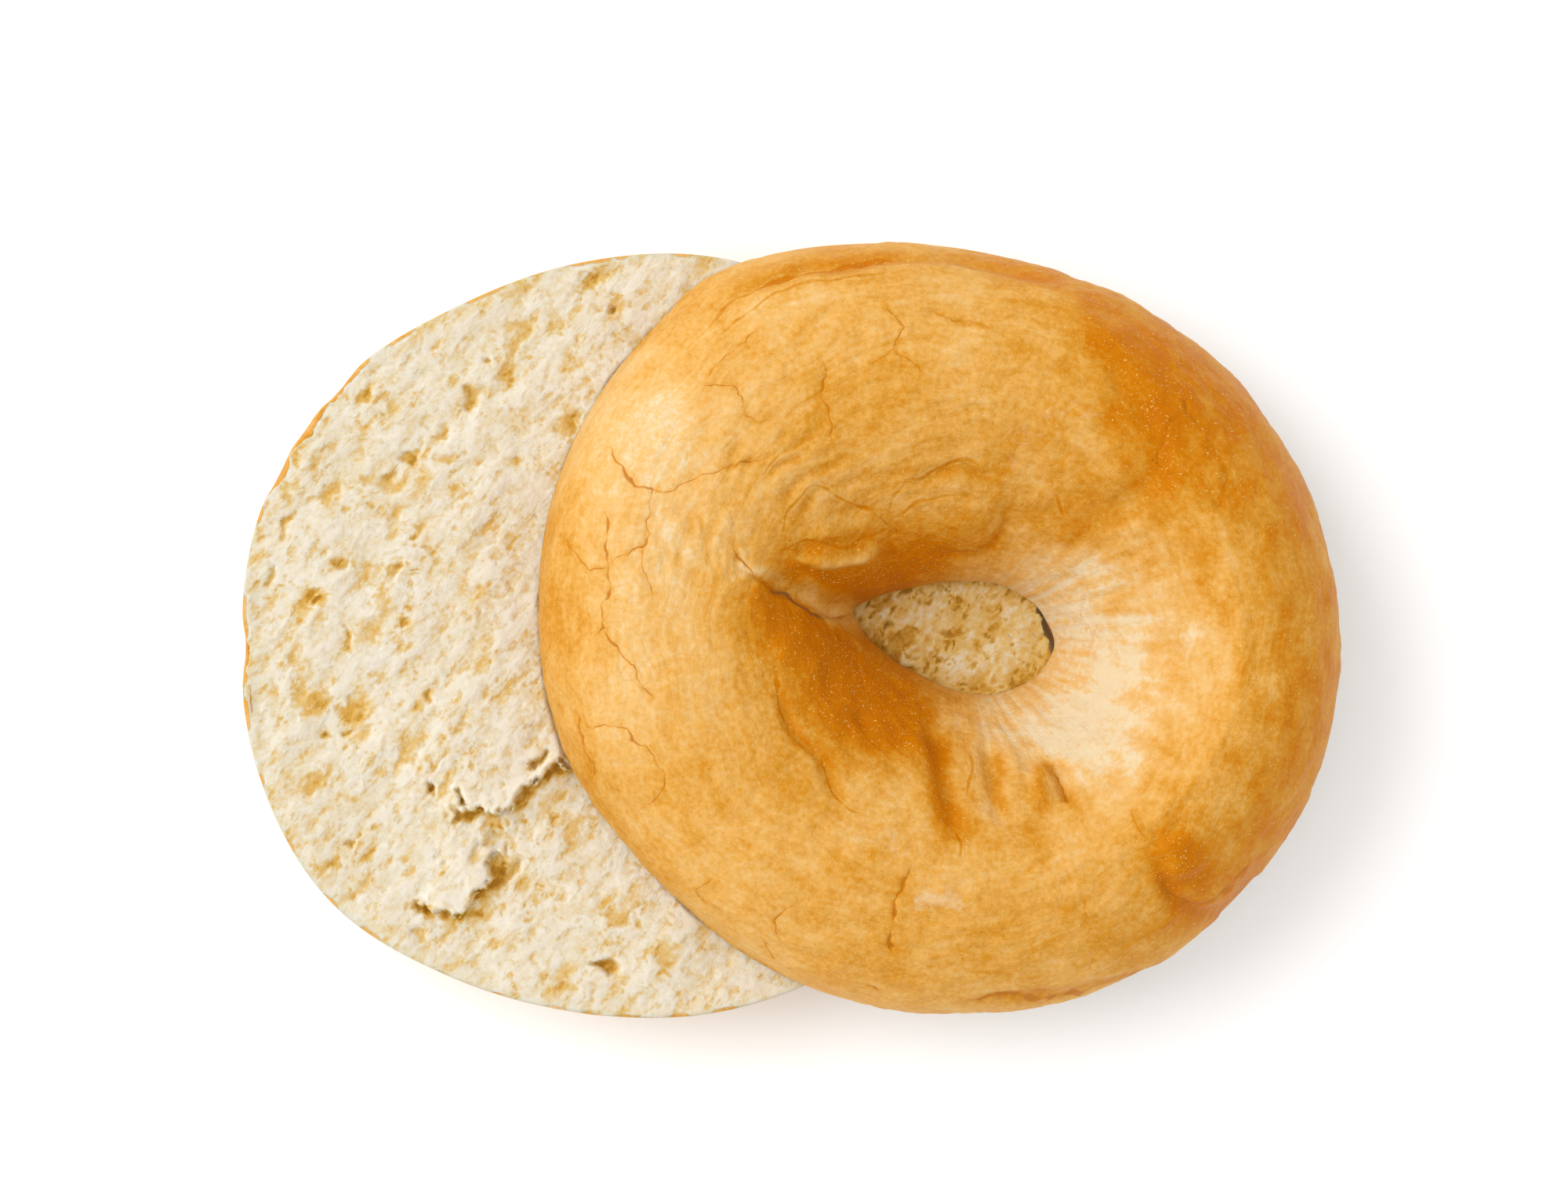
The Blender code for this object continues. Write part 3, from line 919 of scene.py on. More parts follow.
# Folds and swellings, about the middle of the top half: (height, half width, route)
CRUST_FOLDS = (
    # the seam between the two ends of the rope, a lip of dough on either side, and the crest over it
    (-1.1, 3.0, ((-7.0, 1.0), (-11.5, 1.6), (-16.2, 2.2), (-20.5, 4.5), (-24.5, 6.8))),
    (-1.1, 1.0, ((-9.2, 1.2), (-13.0, 2.3), (-15.8, 3.1), (-19.0, 4.5), (-22.0, 6.0), (-25.8, 7.6))),
    (-0.5, 0.4, ((-16.0, 1.5), (-18.3, 3.1), (-20.6, 4.4), (-23.0, 5.3), (-26.5, 7.3), (-28.2, 10.0))),
    (1.3, 4.0, ((-7.0, 10.0), (-13.0, 10.2), (-19.0, 11.2))),
    (0.9, 3.6, ((-15.0, -6.0), (-20.0, -4.0), (-23.5, -1.0))),
    (0.8, 0.6, ((-20.5, 8.6), (-18.0, 8.9), (-14.7, 9.0), (-11.7, 9.8), (-9.4, 10.8))),
    (-0.6, 0.8, ((-20.5, 10.3), (-16.0, 11.2), (-11.5, 12.0), (-8.5, 13.2))),
    # the long fold under the far shoulder
    (-1.0, 0.9, ((-31.8, 40.5), (-28.5, 44.2), (-23.5, 47.0), (-16.4, 49.1), (-5.9, 50.3), (3.4, 50.4),
        (12.5, 48.0), (19.8, 45.3))),
    # the ridge and crease down the right shoulder
    (0.5, 2.0, ((15.0, 45.6), (18.2, 42.9), (25.0, 36.0), (30.0, 29.5))),
    (-0.7, 2.2, ((20.0, 37.0), (25.0, 31.0), (28.0, 26.0), (27.8, 20.0), (22.5, 15.0), (17.0, 12.5))),
    # wrinkles nested on the upper left
    (-0.3, 0.4, ((-31.2, 20.6), (-28.7, 21.5), (-23.5, 22.8), (-19.9, 24.3), (-16.5, 26.4))),
    (-0.4, 0.5, ((-24.2, 19.6), (-21.7, 21.8), (-18.0, 23.6))),
    (-0.5, 0.6, ((-21.4, 15.6), (-20.7, 18.0), (-18.3, 20.1), (-15.8, 21.2), (-12.5, 22.5))),
    (-0.3, 0.6, ((-19.0, 14.0), (-18.2, 16.6), (-16.0, 18.4), (-12.0, 18.6))),
    (-0.3, 0.6, ((-15.0, 16.0), (-12.0, 15.8), (-9.0, 16.8))),
    # the swirl over the hole
    (0.8, 3.4, ((0.5, 13.8), (4.5, 14.0))),
    (-0.6, 0.7, ((-4.5, 18.5), (-2.2, 19.6), (-0.2, 20.9), (1.9, 21.7), (4.5, 20.8), (7.0, 19.0))),
    (-0.5, 0.8, ((-3.0, 11.0), (1.0, 9.8), (6.0, 10.4), (8.5, 14.0), (7.5, 17.0))),
    # puckers below the hole
    (-0.9, 1.4, ((-1.6, -10.5), (-0.8, -15.0), (0.3, -21.0), (2.4, -29.8))),
    (0.6, 2.0, ((-3.5, -13.0), (-2.5, -20.0), (-1.0, -26.0))),
    (-0.9, 1.3, ((5.8, -13.5), (6.8, -19.0), (7.4, -23.5), (9.3, -27.7))),
    (0.5, 1.2, ((9.0, -15.0), (9.8, -20.0), (10.5, -24.0))),
    (1.0, 1.6, ((12.8, -18.8), (13.2, -21.4), (13.6, -24.0))),
    (-1.0, 0.8, ((14.8, -18.0), (16.0, -20.5), (17.2, -24.0))),
    (-0.7, 0.8, ((-22.4, -6.9), (-21.8, -9.9), (-19.6, -14.3), (-16.3, -17.6), (-14.2, -22.2),
        (-12.3, -24.4))),
    # the lump on the lower right shoulder, and the fold under it
    (1.0, 3.0, ((30.0, -27.5), (32.2, -31.0), (33.5, -34.0))),
    (-0.8, 1.0, ((28.5, -29.0), (29.3, -32.5), (31.7, -37.4), (38.0, -38.7), (42.5, -34.5), (44.2, -30.4))),
    (-0.7, 0.8, ((3.0, -50.2), (10.7, -49.7), (21.5, -48.5), (32.6, -46.2))),
    # pits and dimples
    (-0.7, 1.0, ((-10.7, -12.3), (-10.4, -12.7))),
    (-0.4, 1.6, ((31.2, -3.3), (31.6, -3.7))),
)

# Folds narrower than this are darker down in them
FINE_FOLD = 0.0011

# Patches of fine ripples: (x, y, reach, bearing the ripples run in, in degrees, pitch, height)
CRUST_RIPPLES = (
    (-33.0, 11.0, 7.5, 100.0, 0.9, 0.364),
    (-29.0, 19.5, 6.5, 55.0, 1.3, 0.392),
    (-21.5, 25.0, 6.0, 30.0, 1.4, 0.252),
    (-12.0, 19.0, 6.0, 5.0, 1.3, 0.252),
    (-26.0, 9.0, 4.0, 150.0, 0.9, 0.196),
    (-1.0, 17.0, 6.0, -10.0, 1.2, 0.196),
    (25.0, 8.0, 8.0, 35.0, 1.3, 0.196),
    (-29.0, -5.0, 7.0, 115.0, 1.1, 0.14),
    (-12.0, -20.0, 7.0, 120.0, 1.4, 0.196),
    (5.0, 36.0, 15.0, -8.0, 1.6, 0.168),
)

# Cracks where the crust split: (half width, depth, route). Those that branch off others are kept
# apart, so that both lines show where they meet
CRUST_CRACKS = (
    (0.13, 0.5, ((-44.7, 24.5), (-43.1, 21.0), (-41.9, 19.5), (-39.2, 18.4), (-39.0, 17.3), (-39.5, 15.2),
        (-39.8, 12.1), (-40.6, 10.8), (-43.6, 9.4), (-44.8, 8.6))),
    (0.15, 0.5, ((-45.3, 15.5), (-45.1, 10.0), (-45.3, 8.0), (-44.8, 5.8), (-45.6, 2.9), (-45.7, -0.2),
        (-47.0, -1.9))),
    (0.1, 0.4, ((-48.4, -13.7), (-45.4, -13.3), (-42.5, -13.6), (-41.5, -15.3), (-39.4, -16.6),
        (-37.3, -20.0), (-37.3, -21.7), (-40.2, -24.0))),
    (0.24, 0.7, ((-4.3, -32.3), (-4.8, -33.8), (-6.1, -35.9), (-6.5, -38.5), (-7.1, -40.7), (-7.1, -42.5),
        (-6.8, -44.6))),
    (0.08, 0.3, ((-31.1, -34.0), (-33.3, -35.7), (-31.8, -37.5))),
    (0.08, 0.3, ((-19.6, -37.2), (-22.9, -39.3), (-22.0, -41.6))),
    (0.08, 0.3, ((-24.0, -42.8), (-22.6, -45.1))),
    (0.09, 0.3, ((-7.9, 43.3), (-6.3, 41.9), (-5.3, 40.4), (-6.7, 38.2), (-6.6, 37.1), (-9.5, 35.2))),
    (0.1, 0.3, ((-16.1, 35.5), (-15.8, 33.7), (-16.5, 31.3), (-15.4, 29.2), (-14.8, 24.6))),
    (0.07, 0.2, ((-25.0, 40.2), (-27.0, 38.4), (-29.1, 37.0), (-30.8, 35.3), (-31.7, 33.8))),
    (0.08, 0.3, ((-32.6, 32.1), (-30.5, 32.6), (-28.4, 32.4), (-27.0, 31.0), (-26.2, 28.5), (-25.2, 27.6),
        (-23.1, 27.6))),
    (0.06, 0.2, ((-2.2, 42.5), (5.2, 40.7), (6.5, 40.3))),
    (0.14, 0.5, ((31.3, 35.0), (32.9, 35.4), (32.6, 28.7), (30.4, 27.6), (30.1, 25.4), (29.3, 23.3),
        (28.5, 21.1))),
    (0.09, 0.3, ((37.3, 22.2), (38.0, 20.4), (37.7, 17.8), (37.2, 16.3), (40.2, 15.1), (42.0, 13.5))),
    (0.14, 0.4, ((-9.4, 15.7), (-8.3, 15.0), (-7.6, 13.9), (-6.1, 13.2), (-5.8, 12.1))),
    (0.14, 0.4, ((-6.9, 10.7), (-6.1, 9.6))),
    (0.3, 0.6, ((-11.8, 1.9), (-16.2, 1.6), (-20.1, 4.1), (-23.0, 5.3))),
    (0.22, 0.5, ((29.6, -33.6), (30.5, -36.2), (33.0, -37.4), (35.2, -37.9), (39.1, -35.3), (41.2, -33.1),
        (44.2, -30.6))),
    (0.26, 0.5, ((3.3, -50.9), (6.3, -50.1), (9.8, -50.1), (13.2, -50.4), (18.8, -49.7), (24.0, -47.8),
        (27.9, -46.9))),
    (0.26, 0.6, ((14.6, -19.2), (15.4, -19.8), (16.2, -21.5), (16.7, -23.3))),
    (0.08, 0.2, ((24.9, -24.5), (26.1, -26.7), (27.2, -28.4))),
    (0.12, 0.3, ((-10.4, -48.6), (-8.3, -49.3))),
    (0.08, 0.2, ((19.0, -37.0), (18.8, -38.3), (19.1, -39.3))),
    (0.1, 0.3, ((19.5, -45.8), (20.2, -44.8))),
)
CRUST_BRANCHES = (
    (0.08, 0.3, ((-40.6, 10.8), (-40.1, 7.9), (-39.1, 4.2))),
    (0.08, 0.3, ((-51.6, 12.4), (-49.4, 10.0), (-47.8, 7.7), (-45.3, 8.0))),
    (0.1, 0.4, ((-45.6, -0.4), (-43.0, -3.9), (-41.1, -5.9), (-40.1, -8.2), (-39.0, -9.9))),
    (0.13, 0.4, ((-49.4, -11.7), (-48.9, -14.1), (-48.4, -16.5), (-47.2, -18.8), (-47.2, -20.5))),
    (0.08, 0.3, ((-39.2, 18.4), (-37.0, 18.0), (-34.9, 19.4), (-31.2, 20.6), (-28.7, 21.5), (-23.5, 22.8))),
    (0.08, 0.3, ((-6.6, 37.1), (-5.0, 35.8), (-3.2, 34.2))),
    (0.12, 0.4, ((32.6, 28.7), (35.3, 26.4))),
    (0.12, 0.5, ((-23.0, 5.3), (-25.7, 7.0), (-28.3, 10.7))),
)

# Fine wrinkles, as sharp lines with a crest on either side: (half width, route)
CRUST_WRINKLES = (
    (0.1, ((-24.1, 20.2), (-23.5, 21.1), (-22.6, 22.2), (-21.6, 23.2))),
    (0.13, ((-21.6, 12.8), (-21.0, 14.6), (-20.1, 16.4), (-19.0, 17.9), (-17.6, 18.8), (-15.8, 18.4),
        (-14.0, 17.3), (-12.2, 16.4), (-8.3, 15.7))),
    (0.2, ((-21.6, 10.3), (-18.7, 11.4), (-15.8, 11.4), (-12.9, 11.0), (-10.1, 12.1), (-7.2, 13.6))),
    (0.22, ((-5.1, 19.7), (-2.9, 19.8), (-0.8, 21.1), (1.4, 22.2), (3.2, 22.5), (5.0, 21.8))),
    (0.14, ((-7.6, 15.4), (-6.9, 17.5), (-5.1, 19.3))),
    (0.14, ((-5.8, 15.0), (-4.0, 16.4), (-1.5, 17.5), (1.4, 17.9))),
    (0.18, ((15.4, 17.9), (16.1, 16.4), (16.5, 15.0))),
    (0.18, ((-22.5, -6.5), (-22.3, -8.3), (-21.9, -10.5), (-20.8, -12.6))),
    (0.2, ((-16.0, -17.6), (-15.2, -20.2), (-14.3, -22.4), (-12.2, -24.5), (-11.1, -25.0))),
    (0.2, ((-0.1, -25.4), (1.2, -27.1), (2.3, -29.3), (2.5, -31.0))),
    (0.18, ((3.7, -17.2), (4.2, -19.8), (3.3, -22.4))),
    (0.3, ((-31.8, 40.5), (-28.5, 44.2), (-23.5, 47.0), (-16.4, 49.1), (-5.9, 50.3))),
    (0.14, ((-30.0, 39.5), (-24.5, 44.0), (-17.5, 46.6), (-8.0, 47.8))),
)

# Strokes of browner crust, and of paler with a minus, one of them painted shade: (amount, half width, route)
BROWNING_AND_SHADE_STROKES = (
    (0.54, 6.2, ((-22.5, 1.0), (-18.0, -5.0), (-10.5, -11.0))),
    (0.18, 2.2, ((-15.0, 5.2), (-9.0, 5.8), (-2.0, 8.8))),
    (0.22, 2.8, ((-20.0, 0.5), (-14.0, -3.0), (-12.0, -8.0))),
    (0.24, 4.0, ((-12.0, -11.0), (-4.0, -15.5))),
    (0.16, 3.0, ((-13.0, -3.0), (-8.0, -7.5), (-2.0, -10.5))),
    (0.28, 3.6, ((-18.0, 8.0), (-9.0, 8.0), (1.0, 10.0), (6.0, 11.5))),
    (0.13, 3.4, ((-17.0, 11.8), (-6.0, 11.2), (4.0, 13.5))),
    (0.12, 6.5, ((-2.0, 15.0), (11.0, 16.0), (18.0, 15.0))),
    (-0.44, 1.5, ((-26.2, 8.0), (-21.5, 6.1), (-15.8, 3.6), (-12.5, 2.0), (-9.2, 1.4))),
    (0.26, 1.6, ((-20.5, 8.5), (-15.0, 6.2), (-10.5, 5.0))),
    (-0.2, 0.5, ((-20.5, 8.8), (-14.7, 9.2), (-9.4, 11.0))),
    (0.24, 5.0, ((17.0, 13.0), (28.0, 19.0), (29.0, 30.0), (23.0, 38.0))),
    # darker and more orange down the right side: painted shade, where it turns away from the light
    (0.3, 13.0, ((40.0, 30.0), (54.0, 10.0), (54.0, -15.0), (43.0, -35.0))),
    (0.12, 10.0, ((16.0, 45.0), (35.0, 33.0))),
    (0.08, 11.0, ((-10.0, 34.0), (8.0, 29.0), (20.0, 38.0))),
    (-0.09, 8.0, ((6.0, -35.0), (16.0, -35.0))),
    (-0.1, 4.0, ((4.0, 11.0), (8.0, 12.0))),
    (-0.08, 12.0, ((-42.0, 25.0), (-26.0, 38.0), (2.0, 43.0))),
    (0.1, 10.0, ((0.0, -42.0), (30.0, -38.0))),
    (0.32, 3.0, ((31.0, -28.5), (33.5, -33.5))),
    (0.4, 2.2, ((0.0, -16.5), (-0.5, -23.0), (1.8, -27.0))),
    (0.34, 1.3, ((13.2, -19.0), (13.4, -23.5))),
    (0.26, 1.0, ((7.0, -17.0), (8.2, -23.0))),
    (-0.27, 6.8, ((15.0, 3.0), (21.5, -3.0), (21.5, -11.0))),
    (-0.16, 11.0, ((17.0, 3.0), (26.0, -4.0), (25.0, -14.0))),
    (-0.24, 3.8, ((8.0, -12.0), (16.0, -15.0), (22.0, -17.0))),
    (-0.15, 3.0, ((17.0, 8.0), (23.0, 10.0))),
    (-0.2, 8.0, ((-40.0, 27.0), (-37.0, 8.0), (-41.0, -10.0))),
    (0.07, 13.0, ((-40.0, -10.0), (-30.0, -24.0), (-10.0, -40.0))),
    (0.1, 6.0, ((-52.0, 15.0), (-54.0, -2.0), (-50.0, -20.0))),
    (0.14, 3.0, ((-40.0, 40.0), (-20.0, 49.0), (10.0, 50.0), (19.8, 45.3))),
)

# Where the seam gapes, with painted shadow down its gap
SEAM_GAP = ((-14.8, 1.0), (-16.2, 1.6), (-20.1, 4.1), (-23.0, 5.3))

# Strokes of flour left on the crust
FLOUR_STROKES = (
    (0.28, 5.0, ((10.0, 24.0), (19.0, 29.0))),
    (0.26, 3.5, ((-11.5, -27.5), (-7.5, -29.0))),
    (0.3, 1.6, ((-3.0, -36.5), (1.5, -37.2))),
    (0.2, 6.0, ((-2.0, -33.0), (14.0, -36.0))),
)

# Unevenness of the crown, as (height, grain, seed)
TOP_LUMPS = ((0.0006, 0.022, 31), (0.00030, 0.010, 43), (0.00010, 0.0040, 44), (0.00016, 0.0021, 47),
             (0.00006, 0.0010, 48))
STRAND_HEIGHT = 0.00014
SPOKE_HEIGHT = 0.00012

# How baked the crown is at large, and how much each of its features adds to that or takes from it
CROWN_BAKE = 0.42
STRAND_PALING = 0.06
FOLD_BAKE = 0.16
SPOKE_BAKE = 0.24
BRINDLE_BAKE = 0.16
CRACK_BAKE = 0.07
LOW_BAKE = 0.16
CROWN_FLOUR = 0.04

# Skin this near a crack is made of finer faces, and cracks are looked for this far off
CRACK_FINE = 0.0008
CRACK_REACH = 0.003

# A crack's layers where there is none, in millimetres: far off, and less than nothing wide
NO_CRACK = 3.0
NO_WIDTH = -0.08


def crown_arch(steps):
    """(across, up) pairs of a half circle from the rim over the crown to the hole."""
    turns = np.linspace(0.0, math.pi, steps)
    return np.column_stack((0.5 + 0.5 * np.cos(turns), np.sin(turns)))


def lay_on_cut(plan, height):
    """Tilts the top half's own places to the slant of the cut and lays them on the bottom half."""
    x = plan[:, 0] * math.cos(TOP_TILT) + height * math.sin(TOP_TILT) + TOP_MIDDLE[0]
    z = height * math.cos(TOP_TILT) - plan[:, 0] * math.sin(TOP_TILT) + cut_height(TOP_MIDDLE[0]) + REST_GAP
    return np.column_stack((x, plan[:, 1] + TOP_MIDDLE[1], z))


def top_place(angle, across, up):
    """Bends a unit ring's half circle to the top half's rim, hole and crown, and lays it on the cut."""
    turn = np.arctan2(up, 2.0 * across - 1.0)
    reach = np.hypot(2.0 * across - 1.0, up)
    funnel = (0.5 + 0.5 * np.cos(angle - FUNNEL_DIRECTION)) ** 2
    outside = np.cos(turn) > 0.0
    roundness = np.where(outside, SHOULDER_ROUNDNESS, LIP_ROUNDNESS - FUNNEL_SOFTENING * funnel)
    sideways = reach * np.abs(np.cos(turn)) ** (2.0 / roundness)
    crown_at = CROWN_AT + CROWN_AT_SWING * np.cos(angle)
    share = np.where(outside, crown_at + (1.0 - crown_at) * sideways, crown_at * (1.0 - sideways))
    plan = mix(hole_outline(angle), outline(angle, TOP_RIM), share[:, None])
    height = CROWN_HEIGHT * reach * np.clip(np.sin(turn), 0.0, 1.0) ** (2.0 / roundness)
    return lay_on_cut(plan, height)


def core_arch(steps, share):
    """The crown's half circle drawn in, little at the cut and more the higher it goes."""
    arch = crown_arch(steps)
    across = 0.5 + (arch[:, 0] - 0.5) * (1.0 - share * (CORE_ACROSS + CORE_LEAN * arch[:, 1]))
    return np.column_stack((across, arch[:, 1] * (1.0 - share * CORE_UP)))


def refine_near(ring, plan, routes, reach):
    """Halves the edges of a ring that lie within reach of any of the routes."""
    near = np.zeros(len(plan), bool)
    for route in routes:
        near |= np.abs(near_route(plan, route, reach)[0]) < reach
    ring.verts.index_update()
    edges = [edge for edge in ring.edges if near[edge.verts[0].index] and near[edge.verts[1].index]]
    bmesh.ops.subdivide_edges(ring, edges=edges, cuts=1, use_grid_fill=True)


def crack_layer(plan, cracks):
    """Distance to the nearest crack, its half width there and the groove it makes in the crust."""
    nearest = np.full(len(plan), CRACK_REACH)
    width = np.zeros(len(plan))
    groove = np.zeros(len(plan))
    dashes = np.clip(0.70 + 1.5 * noise(flat(plan), 0.0018, 59), 0.05, 1.5)
    for half_width, depth, route in cracks:
        half_width, depth = MM * half_width, MM * depth
        away, along = near_route(plan, route, CRACK_REACH)
        aside = np.abs(away)
        ends = taper(along, 0.12) * dashes
        closer = aside < np.abs(nearest)
        nearest[closer] = away[closer]
        width[closer] = (0.8 * half_width * ends)[closer] * ease(0.0007, 0.0004, aside[closer])
        groove = np.minimum(groove, -0.35 * depth * ends * bell(aside / (half_width + 0.00015)))
        groove += 0.15 * depth * ends * bell((aside - 3.0 * half_width - 0.0003) / 0.0004)
    return nearest, width, groove


def stroke_layer(plan, strokes):
    """Sum of soft strokes, each (amount, half width, route)."""
    total = np.zeros(len(plan))
    for amount, half_width, route in strokes:
        away, _ = near_route(plan, smooth_route(route), 3.0 * MM * half_width)
        total += amount * bell(away / (MM * half_width))
    return total


crown_ring = turned_ring(crown_arch(CROWN_ROWS), core_arch(CORE_ROWS, 1.0)[::-1], CROWN_COLUMNS)
double_columns(crown_ring, lambda across, up: across > DOUBLE_FROM
               and math.hypot(2.0 * across - 1.0, up) > ON_SKIN)
angle, across, up, skin = read_ring(crown_ring)
plan = top_place(angle, across, up)[:, :2] - TOP_MIDDLE
# The shell's inner side is put out of every crack's reach
plan[skin < 0.5] = 1.0
refine_near(crown_ring, plan, [route for _, _, route in CRUST_CRACKS + CRUST_BRANCHES], CRACK_FINE)
angle, across, up, skin = read_ring(crown_ring)
places = top_place(angle, across, up)
top_crust = new_piece("top_crust", crown_ring, places)

plan = places[:, :2] - TOP_MIDDLE
hole_side = across < 0.5
from_hole = np.hypot(*(plan - HOLE_MIDDLE).T)
round_hole = np.arctan2(plan[:, 1] - HOLE_MIDDLE[1], plan[:, 0] - HOLE_MIDDLE[0])
relief = np.zeros(len(places))
folds = np.zeros(len(places))
for height, half_width, route in CRUST_FOLDS:
    height, half_width = MM * height, MM * half_width
    away, along = near_route(wander(plan, 0.005, 0.0004, 49), smooth_route(route), 4.0 * half_width)
    fold = height * bell(away / half_width) * (taper(along, 0.25) if len(route) > 2 else 1.0)
    relief += fold
    folds += fold * (half_width < FINE_FOLD)

for x, y, reach, bearing, pitch, height in CRUST_RIPPLES:
    along, aside = math.radians(bearing), math.radians(bearing + 90.0)
    offset = wander(plan, 0.004, 0.0008, 61) - (MM * x, MM * y)
    run = np.column_stack((offset @ (math.cos(along), math.sin(along)) / 4.0,
                           offset @ (math.cos(aside), math.sin(aside))))
    ripple = MM * height * noise(flat(run), MM * pitch, 62) * bell(np.hypot(*offset.T) / (MM * reach))
    relief += ripple
    folds += ripple
relief += layered_noise(places, TOP_LUMPS)

# Strands in the stretched skin: round the ring, and down the funnel to the hole
round_bent = np.hypot(*(wander(plan, 0.009, 0.0016, 57) - HOLE_MIDDLE).T)
strands = np.column_stack((round_hole * 5.0, round_bent / 0.0013))
strand = noise(flat(strands), 1.0, 45) * ease(-0.5, 0.4, noise(places, 0.012, 60))
stretched = ease(0.042, 0.018, from_hole) * (0.5 + 0.5 * np.cos(round_hole - FUNNEL_DIRECTION)) ** 1.5
spokes = np.column_stack((round_hole * 24.0, from_hole / 0.012))
relief += STRAND_HEIGHT * strand + SPOKE_HEIGHT * noise(flat(spokes), 1.0, 46) * stretched

ragged = wander(wander(plan, 0.0020, 0.00045, 41), 0.0007, 0.00020, 53)
crack, crack_width, crack_groove = crack_layer(ragged, CRUST_CRACKS)
branch, branch_width, branch_groove = crack_layer(ragged, CRUST_BRANCHES)
relief += np.where(np.abs(crack_groove) > np.abs(branch_groove), crack_groove, branch_groove)
push_out(top_crust, relief * skin * np.where(hole_side, ease(0.0, 0.45, up), ease(0.0, 0.05, up)))

# Valleys hold their colour and crests are paler
blotchy = wander(plan, 0.004, 0.0011, 55)
spoke_places = strand_places(round_hole, from_hole / 8.0, 2.5 * STRAND_RADIUS)
brindled = noise(flat(wander(plan, 0.006, 0.002, 64) * (1.0, 0.6)), 0.0030, 66)
bake = CROWN_BAKE + 0.09 * noise(places, 0.014, 51) + 0.05 * noise(places, 0.004, 52) - STRAND_PALING * strand
bake -= FOLD_BAKE * np.clip(folds / 0.0004, -1.0, 1.0)
bake += stroke_layer(blotchy, BROWNING_AND_SHADE_STROKES)
bake += SPOKE_BAKE * noise(spoke_places, 0.0008, 63) * stretched
bake -= 0.04 * stretched * ease(0.30, 0.0, up) * hole_side
bake += BRINDLE_BAKE * brindled * ease(0.006, 0.030, plan[:, 0])
bake += CRACK_BAKE * bell(np.minimum(np.abs(crack), np.abs(branch)) / 0.0006)
bake += LOW_BAKE * ease(0.50, 0.10, up) * hole_side * (1.0 - ease(0.0, 0.4, stretched))
flour = CROWN_FLOUR + 0.08 * noise(places, 0.008, 54) + stroke_layer(blotchy, FLOUR_STROKES)
paint(top_crust, "bake", np.clip(bake, 0.0, 1.0))
paint(top_crust, "flour", np.clip(flour, 0.0, 1.0))
wrinkles = [(half_width, 0.0, smooth_route(route, 3)) for half_width, route in CRUST_WRINKLES]
wrinkle, wrinkle_width, _ = crack_layer(wander(plan, 0.0035, 0.0005, 41), wrinkles)
for name, away, width in (("crack", crack, crack_width), ("branch", branch, branch_width),
                          ("wrinkle", wrinkle, wrinkle_width)):
    paint(top_crust, name, away / MM)
    paint(top_crust, name + "_width", width / MM + NO_WIDTH * (width <= 0.0))
    paint(bottom_crust, name, np.full(len(bottom_crust.data.vertices), NO_CRACK))
    paint(bottom_crust, name + "_width", np.full(len(bottom_crust.data.vertices), NO_WIDTH))
paint_places(top_crust, "strand", strand_places(round_hole, round_bent, STRAND_RADIUS))
paint_places(top_crust, "spoke", spoke_places)
paint(top_crust, "stretched", stretched)
# Painted shadow down the seam's gap, where shade falls
seam_away, seam_along = near_route(ragged, SEAM_GAP, 0.002)
paint(top_crust, "deep", 0.8 * ease(0.00034, 0.00008, np.abs(seam_away)) * taper(seam_along, 0.2))

top_crust.data.materials.append(baked_crust)
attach(top_crust, "root")
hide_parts("top_half")

# ============================================================
# Top half, crumb. The same cream crumb under the crown, cut flat and lying face down.
# ============================================================

UNDER_ROWS = 84
UNDER_COLUMNS = 368
UNDER_SHARE = 0.015

# The crumb's back stays inside the crust by drawing in less than the crust's own inner side
BACK_ROWS = 14
BACK_DRAWN_IN = 0.8

# The face stays this far over the cut, and tucks up at its rim
UNDER_CLEAR = 0.0001
UNDER_FADE = 0.0016
UNDER_TUCK = 0.0006

under_face = np.column_stack((np.linspace(1.0 - UNDER_SHARE, UNDER_SHARE, UNDER_ROWS), np.zeros(UNDER_ROWS)))
under_back = core_arch(BACK_ROWS, BACK_DRAWN_IN)[::-1]
under_ring = turned_ring(under_face, under_back[1:-1], UNDER_COLUMNS)
angle, across, up, on_face = read_ring(under_ring)
plan = mix(hole_outline(angle), outline(angle, TOP_RIM), across[:, None])
heights, tone = crumb_relief(plan, 60)
from_rim = in_from_edge(across, UNDER_SHARE)
heights = np.minimum(heights, -UNDER_CLEAR) * ease(0.0, UNDER_FADE, from_rim)
heights -= UNDER_TUCK * ease(UNDER_TUCK, 0.0, from_rim)
places = np.where(on_face[:, None] > 0.5, lay_on_cut(plan, -heights), top_place(angle, across, up))
top_crumb = new_piece("top_crumb", under_ring, places)
tone += 0.15 * ease(0.0028, 0.0006, from_rim)
paint(top_crumb, "pore_and_shade", np.where(on_face > 0.5, tone, INNER_TONE))
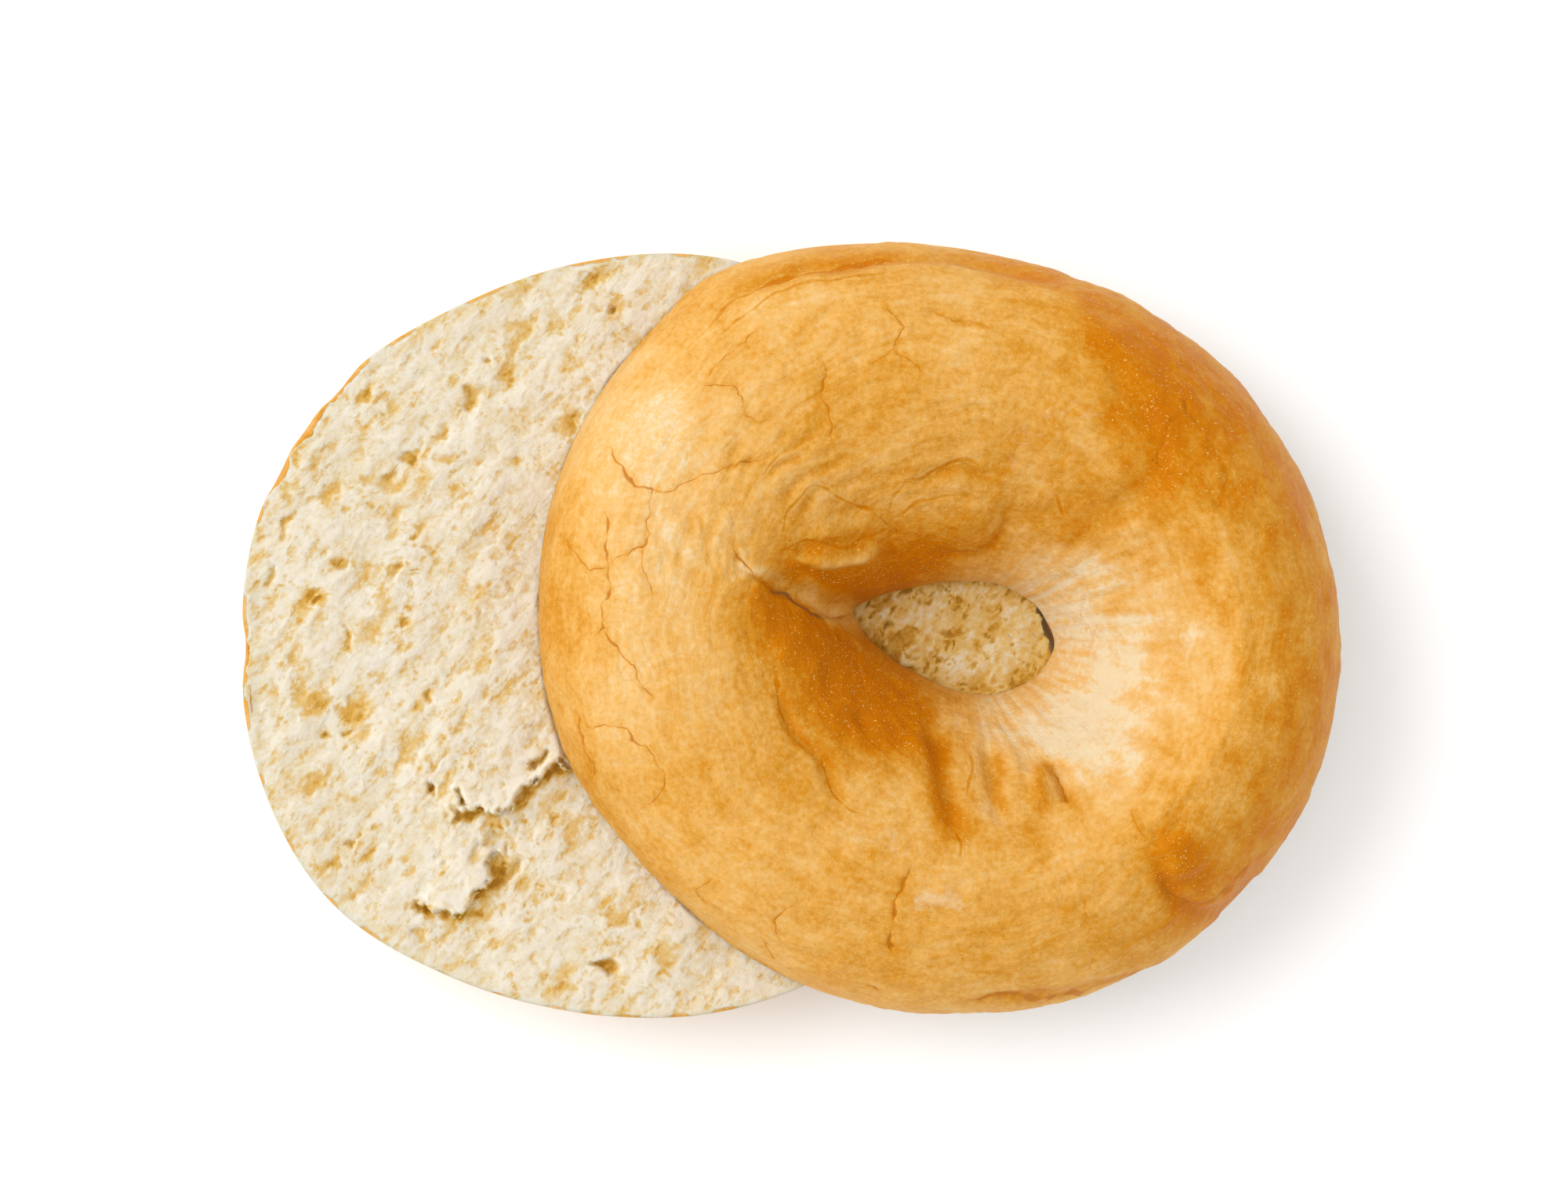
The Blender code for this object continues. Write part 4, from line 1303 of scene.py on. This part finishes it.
top_crumb.data.materials.append(cream_crumb)
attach(top_crumb, "root")
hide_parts("top_half")

# ============================================================
# The studio: a plain pale floor, soft light from all round, a broad sun from the upper left and a
# camera straight overhead.
# ============================================================

FLOOR_HALF_SIDE = 20.0
FLOOR_WHITE = 0.97
SKY_STRENGTH = 0.98
KEY_STRENGTH = 1.8
KEY_SPREAD = math.radians(50.0)
KEY_FROM = Vector((-0.80, 0.35, 0.85))
CAMERA_X = -0.0011
CAMERA_Y = 0.0036
CAMERA_ABOVE = 0.90
FOCUS_HEIGHT = 0.017
FRAME_WIDTH = 0.2152
SENSOR_WIDTH = 36.0

floor_grid = bmesh.new()
bmesh.ops.create_grid(floor_grid, x_segments=1, y_segments=1, size=FLOOR_HALF_SIDE)
mesh = bpy.data.meshes.new("floor")
floor_grid.to_mesh(mesh)
floor_grid.free()
floor = add_object("floor", mesh)
floor_material, tree, shader = new_material("pale_floor")
shader.inputs["Base Color"].default_value = (FLOOR_WHITE, FLOOR_WHITE, FLOOR_WHITE, 1.0)
shader.inputs["Roughness"].default_value = 0.9
mesh.materials.append(floor_material)

key_light = bpy.data.lights.new("key", "SUN")
key_light.energy = KEY_STRENGTH
key_light.angle = KEY_SPREAD
key = add_object("key", key_light)
key.rotation_euler = KEY_FROM.to_track_quat("Z", "Y").to_euler()

world = bpy.data.worlds.new("studio")
bpy.context.scene.world = world
world.use_nodes = True
sky = world.node_tree.nodes["Background"]
sky.inputs["Color"].default_value = (1.0, 1.0, 1.0, 1.0)
sky.inputs["Strength"].default_value = SKY_STRENGTH

camera_data = bpy.data.cameras.new("camera")
camera_data.sensor_width = SENSOR_WIDTH
camera_data.lens = SENSOR_WIDTH * CAMERA_ABOVE / FRAME_WIDTH
camera_data.clip_end = 3.0 * FLOOR_HALF_SIDE
camera = add_object("camera", camera_data)
camera.location = (CAMERA_X, CAMERA_Y, FOCUS_HEIGHT + CAMERA_ABOVE)
bpy.context.scene.camera = camera
bpy.context.scene.view_settings.view_transform = "Standard"
